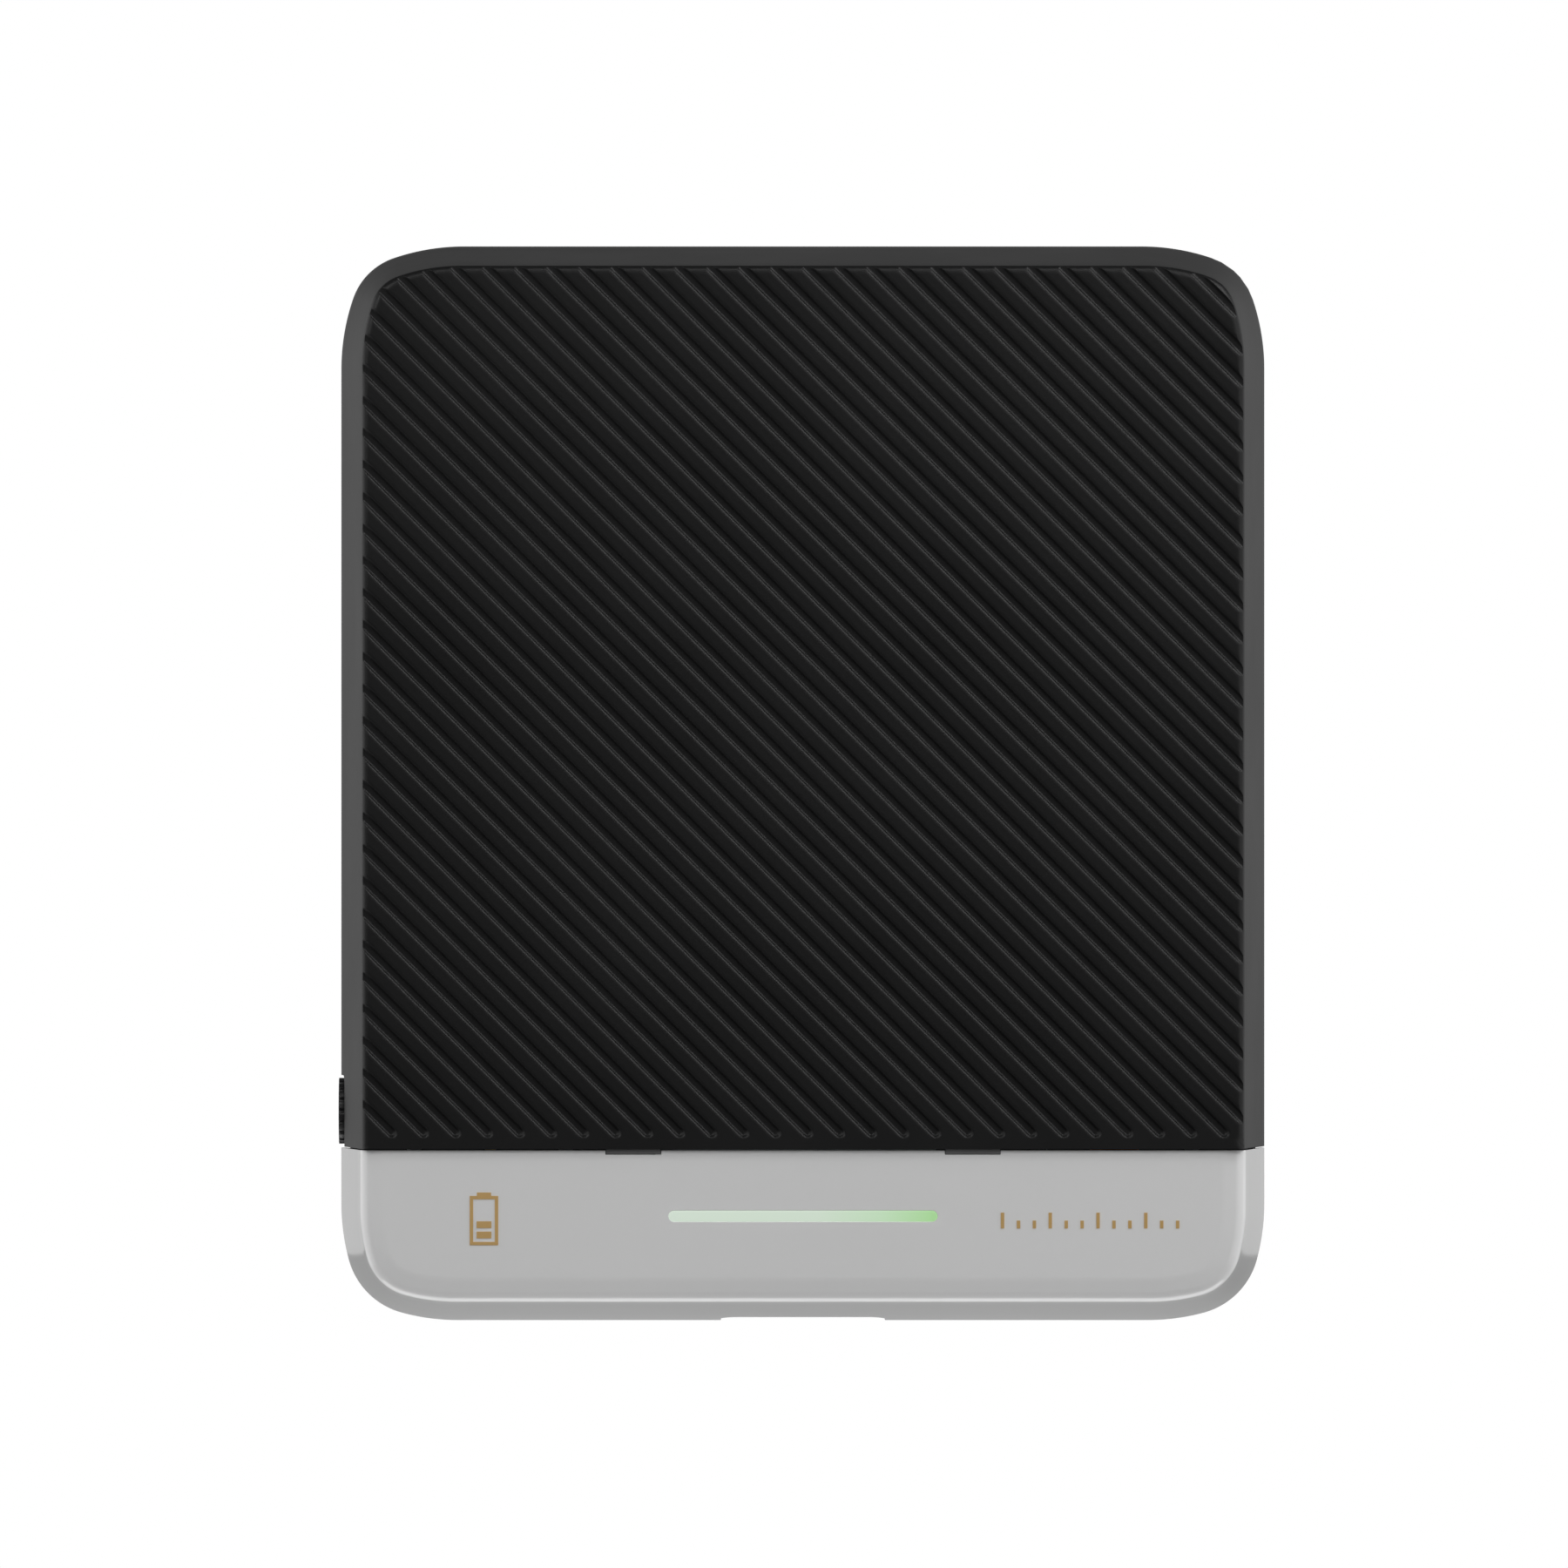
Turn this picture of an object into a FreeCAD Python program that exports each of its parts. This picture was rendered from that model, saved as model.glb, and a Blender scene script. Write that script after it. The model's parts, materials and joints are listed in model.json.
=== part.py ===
import FreeCAD, Part
import math
import os
from FreeCAD import Vector

# Wall battery unit, in millimetres.
# +X is to the right of someone facing the unit, +Y goes into the wall, +Z is up.
# The wall is the plane Y = 0 and the origin is the middle of the wall bracket's bolt pattern.

# Overall sizes
width = 490.0
height = 570.0
depth = 149.0
hang_drop = 150.0
wall_gap = 12.0

# Outline corners: a wide arc, a tight arc and a wide arc turn each quarter
wide_radius = 115.0
top_tight_radius = 34.5
top_wide_turn = 19.0
bottom_tight_radius = 40.0
bottom_wide_turn = 15.0

# Covers
skirt_start = 50.0
side_run = 12.8
skirt_wall = 2.5
front_wall = 4.0
roll_radius = 4.0
lower_band = 92.0
seam = 0.6
lower_step = 2.5
lower_wall = 3.0
face_inset = 23.6
shoulder_angle = 9.0
shoulder_radius = 7.0
flange_thickness = 3.0
flange_depth = 28.0
rib_inset = 10.5
rib_thickness = 3.0
wall_cut = 15.0

# Slanting grooves of the upper cover
groove_pitch = 11.92
groove_width = 4.1
groove_depth = 1.6
groove_shift = 2.73
groove_margin = 6.7

# Chassis tray
sheet = 2.0
tray_inset = 5.0
tray_rim = 64.0
tray_edge_radius = 3.0
gasket_width = 4.0
gasket_height = 2.5
cut_depth = 14.5
cut_clearance = 1.6
cut_radius = 5.0

# Wall bracket and hanger rail
bracket_width = 380.0
bracket_height = 100.0
bracket_sheet = 2.5
bolt_span_x = 300.0
bolt_span_z = 60.0
bolt_hole_radius = 4.5
bolt_slot_length = 16.0
hook_width = 90.0
hook_spacing = 240.0
hook_rise = 14.0
hook_reach = 9.5
rail_width = 370.0
rail_play = 1.0
rail_leg = 13.5
rail_flange = 20.0
rail_screw_span = 333.0
rail_screw_count = 5
rest_gap = 0.3

# Cells
cell_thick = 50.0
cell_tall = 160.0
cell_deep = 118.0
cell_edge_radius = 3.0
columns = 8
cell_gap = 1.0
row_gap = 2.0
pad_thickness = 2.0
cells_below_top = 24.0
end_plate_thickness = 8.0
end_plate_short = 4.0
module_screw_inset = 30.0
module_screw_depth = 20.0
strap_thickness = 1.5
strap_width = 20.0
strap_ear = 22.0
strap_places = (0.25, 0.75)
shelf_thickness = 2.5
shelf_flange = 25.0
terminal_offset = 50.0
terminal_radius = 8.0
terminal_height = 3.0
link_width = 20.0
link_thickness = 2.0
nut_radius = 5.5
nut_height = 2.6
cap_wall = 1.2
bar_clearance = 1.3
fuse_clearance = 0.7
cap_height = 10.0

# Service panel between the battery compartment and the wiring bay
panel_thickness = 2.0
panel_play = 0.5
panel_flange = 12.0
panel_front_gap = 2.0
panel_screw_x = (-176.4, 0.0, 176.4)

# Power sockets
socket_x = (110.0, 165.0)
socket_reach = 75.0
socket_radius = 13.0
socket_length = 24.0
socket_flange = 36.0
socket_flange_thickness = 3.0
socket_mouth_radius = 9.0
socket_mouth_depth = 10.0
contact_radius = 6.0
contact_bore_radius = 4.0
contact_bore_depth = 14.0
neck_rise = 2.0

# Communication ports
port_x = (-70.0, -45.0, -20.0)
port_reach = 95.0
port_wide = 16.0
port_deep = 14.0
port_tall = 18.0
port_drop = 9.0
port_mouth_wide = 12.0
port_mouth_deep = 8.0
port_mouth_tall = 14.0

# Power button
button_x = -115.0
button_reach = 95.0
button_radius = 6.0
button_shoulder_radius = 6.8
button_play = 0.05
button_edge_radius = 0.6
button_stand = 3.0
button_lip = 2.0
button_shoulder = 2.0
housing_radius = 8.5
housing_flange_radius = 11.0
housing_rise = 14.0
spring_radius = 4.0
wire_radius = 0.4
spring_turns = 4.0
spring_points = 8

# Ground stud and vent
stud_x = -165.0
stud_reach = 110.0
stud_radius = 3.0
stud_length = 15.0
stud_collar = 3.0
stud_nut_radius = 5.8
stud_nut_height = 5.0
vent_x = -205.0
vent_reach = 95.0
vent_radius = 6.0
vent_flange_radius = 9.5
vent_flange_thickness = 3.5
vent_slot = 1.5
vent_slots = 3

# Rotary isolator on the left wall
knob_radius = 17.5
knob_rise = 19.0
knob_reach = 42.0
knob_proud = 1.3
knob_scallops = 18
scallop_radius = 1.1
grip_width = 7.0
grip_floor = 1.8
grip_inset = 3.3
bezel_radius = 19.0
bezel_thickness = 1.2
shaft_radius = 4.0
shaft_play = 0.05
shaft_depth = 20.0
shaft_hole_radius = 6.0
switch_half = 13.4
switch_length = 64.0
switch_deep = 34.0
switch_decks = 4
deck_step = 0.6

# Light bar and gold marks
light_length = 141.5
light_height = 5.6
light_drop = 35.0
lens_flange = 3.5
lens_flange_thickness = 1.5
lens_play = 0.1
light_air = 1.5
led_count = 10
led_width = 5.0
led_tall = 3.4
led_height = 1.4
board_thickness = 1.6
light_bracket_sheet = 1.5
light_bracket_half = 70.0
light_bracket_tall = 46.0
light_bracket_flange = 18.0
mark_height = 54.7
mark_thickness = 0.3
pictogram_x = -168.0
pictogram_wide = 15.0
pictogram_tall = 26.0
pictogram_line = 1.8
scale_x = 151.2
scale_length = 94.0
scale_tall = 8.3
scale_line = 1.8
scale_ticks = 12

# Snap tongues and cable outlet
tongue_x = 89.4
tongue_width = 29.4
tongue_tall = 2.3
tongue_play = 0.3
tongue_length = 22.0
outlet_width = 87.0
outlet_end_radius = 9.0
tray_outlet_width = 76.0
tray_outlet_start = 20.0
grommet_wall = 2.0
grommet_lip = 2.0
grommet_lip_thickness = 1.5

# Battery electronics
spreader_x = (-140.0, 60.0)
spreader_base = 6.0
spreader_depth = 20.0
fin_thickness = 2.0
fin_count = 9
board_x = (-155.0, 75.0)
board_reach = 44.0
board_margin = 12.0
board_gap = 14.0
capacitor_radius = 6.0
capacitor_tall = 18.0
capacitor_count = 6
capacitor_pitch = 18.0
capacitor_row = 0.3
mosfet_count = 12
mosfet_size = 9.0
mosfet_tall = 4.0
mosfet_pitch = 12.6
mosfet_row = 0.6
connector_size = 22.0
connector_tall = 9.0
connector_start = 33.0
connector_pitch = 37.4
connector_count = 3
bar_width = 12.0
bar_thickness = 2.0
fuse_base_depth = 34.0
fuse_base_width = 30.0
fuse_base_tall = 66.0
fuse_radius = 10.0
fuse_tall = 34.0

# Fasteners
m4_radius = 2.0
m4_head_radius = 3.8
m4_head = 2.6
m5_radius = 2.5
m5_head_radius = 4.6
m5_head = 2.4
cover_screw_x = (-205.0, -125.0, 125.0, 205.0)
light_screw_x = (-40.0, 40.0)
bumper_radius = 18.0
bumper_x = 170.0
bumper_height = 60.0

# How far cutters run past the surfaces they cut, and how near a plane an edge counts as lying in it
overcut = 1.0
in_plane = 0.01

# Planes worked out from the sizes above (Y planes are negative, in front of the wall)
top = hang_drop
bottom = top - height
half = width / 2
front = -depth
skirt_rear = -skirt_start
tray_back = -wall_gap
tray_floor = tray_back - sheet
rim = -tray_rim
lower_face = front + lower_step
split = bottom + lower_band
upper_edge = split + seam / 2
lower_edge = split - seam / 2
flange_top = upper_edge + flange_thickness
panel_top = flange_top + panel_thickness
flange_back = front + front_wall + flange_depth
panel_front = front + front_wall + panel_front_gap
cut_front = skirt_rear - cut_depth
knob_z = split + knob_rise
knob_y = -knob_reach
wall_x = half - tray_inset
cells_top = top - cells_below_top
cells_bottom = cells_top - 2 * cell_tall - row_gap
cells_back = tray_floor - pad_thickness
cells_front = cells_back - cell_deep
column_step = cell_thick + cell_gap
stack_half = (columns * column_step - cell_gap) / 2
plate_half = stack_half + end_plate_thickness
upper_row_z = cells_top - cell_tall / 2
lower_row_z = cells_bottom + cell_tall / 2
link_back = cells_front - terminal_height
link_front = link_back - link_thickness
strap_low = cells_bottom - strap_thickness
board_top = strap_low - shelf_thickness - shelf_flange
board_bottom = panel_top + board_gap
board_back = -board_reach
board_front = board_back - board_thickness
light_z = split - light_drop
lens_back = lower_face + lower_wall
lens_rear = lens_back + lens_flange_thickness
led_front = lens_rear + light_air
light_board_front = led_front + led_height
light_board_back = light_board_front + board_thickness
hook_tip = bracket_height / 2 + hook_rise
rail_z = hook_tip + rest_gap
slope = side_run / (skirt_rear - front)
fuse_front = tray_floor - fuse_base_depth
fuse_low = panel_top + board_gap
fuse_high = fuse_low + fuse_base_tall
last_column = (columns - 1) / 2 * column_step
minus_x = last_column + link_width / 2 + bar_clearance + bar_width / 2
fuse_x = minus_x + bar_width / 2 + fuse_clearance + fuse_base_width / 2
cap_half = minus_x + bar_width / 2 + panel_play + cap_wall
landing_high = board_top - board_margin
landing_low = landing_high - bar_width
button_face = flange_top - button_lip - button_stand
shoulder_low = flange_top + rest_gap
shoulder_high = shoulder_low + button_shoulder
housing_roof = flange_top + housing_rise - button_lip


def box(x0, x1, y0, y1, z0, z1):
    """Block between two limits on each axis, given in either order."""
    low = Vector(min(x0, x1), min(y0, y1), min(z0, z1))
    return Part.makeBox(abs(x1 - x0), abs(y1 - y0), abs(z1 - z0), low)


def rod(radius, start, end):
    """Round bar from one point to another."""
    run = end.sub(start)
    return Part.makeCylinder(radius, run.Length, start, run)


def hexagon(radius, start, end):
    """Hexagonal bar whose corners lie on the radius."""
    run = end.sub(start)
    bar = Part.makePolygon([Vector(radius * math.cos(math.radians(60 * k)),
                                   radius * math.sin(math.radians(60 * k)), 0) for k in range(7)])
    solid = Part.Face(bar).extrude(Vector(0, 0, run.Length))
    solid.Placement = FreeCAD.Placement(start, FreeCAD.Rotation(Vector(0, 0, 1), run))
    return solid


def slot_bar(length, tall, centre, y0, y1):
    """Bar with round ends, long in X, between two Y planes."""
    reach = (length - tall) / 2
    parts = [box(centre.x - reach, centre.x + reach, y0, y1, centre.z - tall / 2, centre.z + tall / 2)]
    for side in (-1, 1):
        x = centre.x + side * reach
        parts.append(rod(tall / 2, Vector(x, y0, centre.z), Vector(x, y1, centre.z)))
    return join(parts)


def join(shapes):
    """One solid from touching or overlapping solids."""
    return shapes[0].fuse(shapes[1:]).removeSplitter() if len(shapes) > 1 else shapes[0]


def group(shapes):
    """Separate solids kept together."""
    return Part.makeCompound(shapes)


def right_of(heading):
    """Unit vector to the right of a heading, where 0 is up and 90 is towards +X."""
    angle = math.radians(heading)
    return Vector(math.cos(angle), 0, -math.sin(angle))


def corner_reach(tight, turn, inset):
    """How far a quarter turn of three arcs reaches along each side."""
    cos = math.cos(math.radians(turn))
    sin = math.sin(math.radians(turn))
    return wide_radius * (1 - cos + sin) + tight * (cos - sin) - inset


def corner(point, heading, tight, turn, inset):
    """Three arcs that turn right by a quarter."""
    edges = []
    for radius, angle in ((wide_radius, turn), (tight, 90 - 2 * turn), (wide_radius, turn)):
        radius -= inset
        centre = point + right_of(heading) * radius
        middle = centre - right_of(heading + angle / 2) * radius
        end = centre - right_of(heading + angle) * radius
        edges.append(Part.Arc(point, middle, end).toShape())
        point = end
        heading += angle
    return edges, point


def outline(inset, y):
    """The unit's rounded outline, moved inwards, as a closed wire in a plane Y = y."""
    side = half - inset
    upper = corner_reach(top_tight_radius, top_wide_turn, inset)
    lower = corner_reach(bottom_tight_radius, bottom_wide_turn, inset)
    turns = [(Vector(-side, y, top - inset - upper), 0, top_tight_radius, top_wide_turn),
             (Vector(side - upper, y, top - inset), 90, top_tight_radius, top_wide_turn),
             (Vector(side, y, bottom + inset + lower), 180, bottom_tight_radius, bottom_wide_turn),
             (Vector(-side + lower, y, bottom + inset), 270, bottom_tight_radius, bottom_wide_turn)]
    edges = []
    last = Vector(-side, y, bottom + inset + lower)
    for start, heading, tight, turn in turns:
        edges.append(Part.makeLine(last, start))
        arcs, last = corner(start, heading, tight, turn, inset)
        edges += arcs
    return Part.Wire(edges)


def outline_prism(inset, y0, y1):
    """The outline run straight from one Y plane to another."""
    return Part.Face(outline(inset, y0)).extrude(Vector(0, y1 - y0, 0))


def skirt_inset(y):
    """How far the sloping side lies inside the widest outline."""
    return (skirt_rear - y) * slope


def tapered(extra, y0, y1):
    """Solid inside the sloping side, moved inwards by extra, between two Y planes."""
    wires = [outline(skirt_inset(y) + extra, y) for y in (y0, y1)]
    return Part.makeLoft(wires, True, True)


def edges_at(solid, y):
    """Edges that lie in the plane Y = y."""
    return [e for e in solid.Edges
            if abs(e.BoundBox.YMin - y) < in_plane and abs(e.BoundBox.YMax - y) < in_plane]


def above(z):
    """Everything above a height."""
    return box(-width, width, -2 * depth, depth, z, z + 2 * height)


def below(z):
    """Everything below a height."""
    return box(-width, width, -2 * depth, depth, z - 2 * height, z)


def cover_screw_points(xs):
    """Screw places in the flange that joins the upper cover to the service panel."""
    y = (front + front_wall + flange_back) / 2
    return [Vector(x, y, upper_edge) for x in xs]


def groove_cutters():
    """Slanting bars with round lower ends that cut the grooves."""
    middle = (top + bottom) / 2
    run = Vector(1, 0, -1).normalize()
    across = Vector(1, 0, 1).normalize()
    tip_z = upper_edge + groove_margin + groove_width / 2
    count = int((width + height) / math.sqrt(2) / groove_pitch / 2)
    cutters = []
    for k in range(-count, count + 1):
        centre = Vector(0, 0, middle) + across * (groove_shift + k * groove_pitch)
        low = centre + run * ((centre.z - tip_z) * math.sqrt(2))
        high = low - run * (height * math.sqrt(2))
        corners = [low - across * groove_width / 2, low + across * groove_width / 2,
                   high + across * groove_width / 2, high - across * groove_width / 2]
        for point in corners + [low]:
            point.y = front - roll_radius
        strip = Part.Face(Part.makePolygon(corners + corners[:1]))
        bar = strip.extrude(Vector(0, groove_depth + roll_radius, 0))
        end = Part.makeCylinder(groove_width / 2, groove_depth + roll_radius, low, Vector(0, 1, 0))
        cutters.append(bar.fuse(end))
    return [c for c in cutters if c.BoundBox.XMin < half and c.BoundBox.XMax > -half]


def knob_cutout():
    """Opening in the upper cover's left skirt around the isolator knob."""
    high = knob_z + knob_radius + cut_clearance
    block = box(-half - cut_depth, -half + wall_cut, cut_front, 0, upper_edge - cut_depth, high)
    edge = [e for e in block.Edges if abs(e.BoundBox.YMax - cut_front) < in_plane
            and abs(e.BoundBox.ZMin - high) < in_plane]
    return block.makeFillet(cut_radius, edge)


def front_cover():
    """Upper cover: a deep lid with sloping sides, a grooved front and a flange along its lower edge."""
    outer = tapered(0, skirt_rear, front)
    outer = outer.makeFillet(roll_radius, edges_at(outer, front)).common(above(upper_edge))
    hollow = tapered(skirt_wall, skirt_rear + skirt_wall, front + front_wall)
    flange = box(-half, half, front, flange_back, upper_edge, flange_top)
    rib_front = rim - gasket_height - rib_thickness
    rib = tapered(skirt_wall / 2, rib_front + rib_thickness, rib_front)
    rib = rib.cut(outline_prism(rib_inset, rib_front - overcut, rib_front + rib_thickness + overcut))
    rib = rib.common(above(upper_edge))
    shell = outer.cut(hollow.cut(flange)).fuse(rib)
    holes = [rod(m4_radius, p - Vector(0, 0, overcut), p + Vector(0, 0, 2 * flange_thickness))
             for p in cover_screw_points(cover_screw_x + light_screw_x)]
    return shell.cut(groove_cutters()).cut(holes + [knob_cutout()])


def cover_gasket():
    """Foam seal between the tray's rim and the upper cover's inner rib."""
    ring = outline_prism(tray_inset, rim - gasket_height, rim)
    ring = ring.cut(outline_prism(tray_inset + gasket_width, rim - gasket_height, rim))
    return ring.common(above(flange_top))


def lower_body():
    """The lower cover's outer form: sloping sides, a shoulder and a flat face."""
    rise = math.tan(math.radians(shoulder_angle))
    joint_inset = (slope * (skirt_rear - lower_face - rise * face_inset)) / (1 - slope * rise)
    joint_y = lower_face + rise * (face_inset - joint_inset)
    sides = tapered(0, skirt_rear, joint_y)
    shoulder = Part.makeLoft([outline(joint_inset, joint_y), outline(face_inset, lower_face)], True, True)
    solid = sides.fuse(shoulder).removeSplitter()
    return solid.makeFillet(shoulder_radius, edges_at(solid, joint_y))


def lower_cover():
    """White cover of the wiring bay, open at the top and at the back."""
    outer = lower_body().common(below(lower_edge))
    hollow = tapered(skirt_wall, skirt_rear + skirt_wall, lens_back + shoulder_radius / 2)
    shelf = outline_prism(face_inset, lens_back + shoulder_radius, lens_back)
    shell = outer.cut(hollow).cut(shelf)
    centre = Vector(0, 0, light_z)
    cuts = [slot_bar(light_length + 2 * lens_play, light_height + 2 * lens_play, centre,
                     lower_face - overcut, lens_back + overcut)]
    for side in (-1, 1):
        reach = tongue_width / 2
        cuts.append(box(side * tongue_x - reach, side * tongue_x + reach, lower_face - overcut,
                        lens_back + shoulder_radius, lower_edge - tongue_tall, lower_edge + overcut))
    cuts.append(outlet_cutter(outlet_width))
    return shell.cut(cuts)


def outlet_cutter(across):
    """Notch in the lower cover's rear edge where the cables leave, with rounded ends."""
    block = box(-across / 2, across / 2, cut_front, 0, bottom - cut_depth, bottom + wall_cut)
    edges = [e for e in block.Edges if abs(e.BoundBox.YMax - cut_front) < in_plane
             and e.BoundBox.ZLength > cut_depth]
    return block.makeFillet(outlet_end_radius, edges)


def light_lens():
    """Milky bar that fills the slot in the lower cover, with a flange behind it."""
    centre = Vector(0, 0, light_z)
    bar = slot_bar(light_length, light_height, centre, lower_face, lens_back)
    flange = slot_bar(light_length + 2 * lens_flange, light_height + 2 * lens_flange, centre,
                      lens_back, lens_rear)
    return join([bar, flange])


def pictogram():
    """Plain battery sign: a frame with a cap and two level bars."""
    y0 = lower_face - mark_thickness
    z = bottom + mark_height
    x = pictogram_x
    wide = pictogram_wide / 2
    tall = pictogram_tall / 2
    line = pictogram_line
    frame = box(x - wide, x + wide, y0, lower_face, z - tall, z + tall)
    frame = frame.cut(box(x - wide + line, x + wide - line, y0, lower_face, z - tall + line, z + tall - line))
    cap = box(x - wide / 2, x + wide / 2, y0, lower_face, z + tall, z + tall + line)
    bars = []
    for k in range(2):
        low = z - tall + (2 + 3 * k) * line
        bars.append(box(x - wide + 2 * line, x + wide - 2 * line, y0, lower_face, low, low + 2 * line))
    return group([join([frame, cap])] + bars)


def charge_scale():
    """Row of plain ticks, every third one full height."""
    z = bottom + mark_height - scale_tall / 2
    step = (scale_length - scale_line) / (scale_ticks - 1)
    ticks = []
    for k in range(scale_ticks):
        x = scale_x - scale_length / 2 + k * step
        tall = scale_tall if k % 3 == 0 else scale_tall / 2
        ticks.append(box(x, x + scale_line, lower_face - mark_thickness, lower_face, z, z + tall))
    return group(ticks)


def module_screw_points():
    """Places on the tray's back where screws hold the end plates."""
    x = stack_half + end_plate_thickness / 2
    heights = (cells_bottom + module_screw_inset, (cells_top + cells_bottom) / 2,
               cells_top - module_screw_inset)
    return [Vector(side * x, tray_back, z) for side in (-1, 1) for z in heights]


def rail_screw_points():
    """Places on the hanger rail where screws hold it to the tray."""
    z = rail_z + rail_flange / 2 + bracket_sheet
    return [Vector(rail_screw_span * (k / (rail_screw_count - 1) - 0.5), tray_back + bracket_sheet, z)
            for k in range(rail_screw_count)]


def panel_screw_points():
    """Places where the service panel's rear flange is screwed to the tray's floor."""
    z = panel_top + panel_flange / 2
    return [Vector(x, tray_floor - panel_thickness, z) for x in panel_screw_x]


def chassis_tray():
    """Pressed steel tray that carries everything, open to the front."""
    outer = outline_prism(tray_inset, tray_back, rim)
    outer = outer.makeFillet(tray_edge_radius, edges_at(outer, tray_back))
    shell = outer.cut(outline_prism(tray_inset + sheet, tray_floor, rim - sheet))
    reach = Vector(0, -3 * sheet, 0)
    holes = [box(-tray_outlet_width / 2, tray_outlet_width / 2, -tray_outlet_start, rim - sheet,
                 bottom, bottom + wall_cut),
             rod(shaft_hole_radius, Vector(-half, knob_y, knob_z), Vector(-half + wall_cut, knob_y, knob_z))]
    for point in module_screw_points():
        holes.append(rod(m5_radius, point - reach, point + reach))
    for point in rail_screw_points() + panel_screw_points():
        holes.append(rod(m4_radius, point - reach, point + reach))
    return shell.cut(holes)


def cable_grommet():
    """Rubber edging that lines the tray's cable outlet on three sides."""
    x = tray_outlet_width / 2
    floor = bottom + tray_inset
    lip = grommet_lip_thickness
    end = rim + grommet_wall
    body = box(-x, x, -tray_outlet_start, end, floor - lip, floor + sheet + lip)
    over = box(-x - grommet_lip, x + grommet_lip, -tray_outlet_start + grommet_lip, end,
               floor - lip, floor + sheet + lip)
    web = over.cut(box(-half, half, 0, rim - sheet, floor, floor + sheet))
    hollow = box(-x + grommet_wall, x - grommet_wall, -tray_outlet_start - grommet_wall, rim - sheet,
                 floor - 2 * lip, floor + 4 * lip)
    return join([body, web]).cut(hollow)


def wall_bracket():
    """Steel plate for the wall with two upturned hooks along its upper edge."""
    x = bracket_width / 2
    z = bracket_height / 2
    plate = box(-x, x, -bracket_sheet, 0, -z, z)
    parts = [plate]
    for side in (-1, 1):
        low = side * hook_spacing / 2 - hook_width / 2
        high = low + hook_width
        parts.append(box(low, high, -hook_reach, -bracket_sheet, z - bracket_sheet, z))
        parts.append(box(low, high, -hook_reach, -hook_reach + bracket_sheet, z - bracket_sheet, hook_tip))
    slots = []
    for sx in (-1, 1):
        for sz in (-1, 1):
            centre = Vector(sx * bolt_span_x / 2, 0, sz * bolt_span_z / 2)
            slots.append(slot_bar(bolt_slot_length, 2 * bolt_hole_radius, centre, -2 * bracket_sheet,
                                  bracket_sheet))
    return join(parts).cut(slots)


def hanger_rail():
    """Folded rail on the tray's back whose leg drops behind the bracket's hooks."""
    x = rail_width / 2
    leg_back = -bracket_sheet - rail_play
    web = box(-x, x, tray_back, leg_back, rail_z, rail_z + bracket_sheet)
    leg = box(-x, x, leg_back - bracket_sheet, leg_back, rail_z + bracket_sheet - rail_leg,
              rail_z + bracket_sheet)
    flange = box(-x, x, tray_back, tray_back + bracket_sheet, rail_z, rail_z + bracket_sheet + rail_flange)
    reach = Vector(0, 2 * bracket_sheet, 0)
    holes = [rod(m4_radius, p - reach, p + reach) for p in rail_screw_points()]
    return join([web, leg, flange]).cut(holes)


def rear_bumpers():
    """Rubber pads that keep the lower edge off the wall."""
    z = bottom + bumper_height
    return group([rod(bumper_radius, Vector(s * bumper_x, tray_back, z), Vector(s * bumper_x, -rest_gap, z))
                  for s in (-1, 1)])


def cell_centre(column):
    """Middle of a column of cells."""
    return (column - (columns - 1) / 2) * column_step


def cell_row(z):
    """One row of prismatic cells standing on their backs, terminals to the front."""
    cells = []
    for k in range(columns):
        x = cell_centre(k)
        cell = box(x - cell_thick / 2, x + cell_thick / 2, cells_front, cells_back,
                   z - cell_tall / 2, z + cell_tall / 2)
        cells.append(cell.makeFillet(cell_edge_radius,
                                     [e for e in cell.Edges if e.BoundBox.YLength > cell_thick]))
    return group(cells)


def cell_spacers():
    """Thin insulating sheets between neighbouring cells and between the two rows."""
    sheets = []
    for z in (upper_row_z, lower_row_z):
        for k in range(columns - 1):
            x = cell_centre(k) + cell_thick / 2
            sheets.append(box(x, x + cell_gap, cells_front, cells_back, z - cell_tall / 2, z + cell_tall / 2))
    sheets.append(box(-stack_half, stack_half, cells_front, cells_back, lower_row_z + cell_tall / 2,
                      upper_row_z - cell_tall / 2))
    return group(sheets)


def thermal_pad():
    """Soft pad that carries the cells' heat to the tray."""
    return box(-stack_half, stack_half, cells_back, tray_floor, cells_bottom, cells_top)


def end_plates():
    """Aluminium plates at both ends of the cell stack."""
    plates = []
    for side in (-1, 1):
        plates.append(box(side * stack_half, side * plate_half, cells_front + end_plate_short, tray_floor,
                          cells_bottom, cells_top))
    depth_in = Vector(0, -module_screw_depth, 0)
    holes = [rod(m5_radius, p, p + depth_in) for p in module_screw_points()]
    return group([plate.cut(holes) for plate in plates])


def tie_straps():
    """Steel bands over the top and under the bottom of the stack, hooked round the end plates."""
    straps = []
    for share in strap_places:
        y = cells_back - share * cell_deep
        for face, way in ((cells_top, 1), (cells_bottom, -1)):
            skin = face + way * strap_thickness
            outer = box(-plate_half - strap_thickness, plate_half + strap_thickness, y - strap_width / 2,
                        y + strap_width / 2, skin, face - way * strap_ear)
            inner = box(-plate_half, plate_half, y - strap_width, y + strap_width, face,
                        face - 2 * way * strap_ear)
            straps.append(outer.cut(inner))
    return group(straps)


def cell_shelf():
    """Folded steel shelf that takes the weight of the cells."""
    plate = box(-plate_half, plate_half, cells_front + strap_width, tray_floor, strap_low - shelf_thickness,
                strap_low)
    low = strap_low - shelf_flange
    flange = box(-plate_half, plate_half, tray_floor - shelf_thickness, tray_floor, low, strap_low)
    return join([plate, flange])


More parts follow.
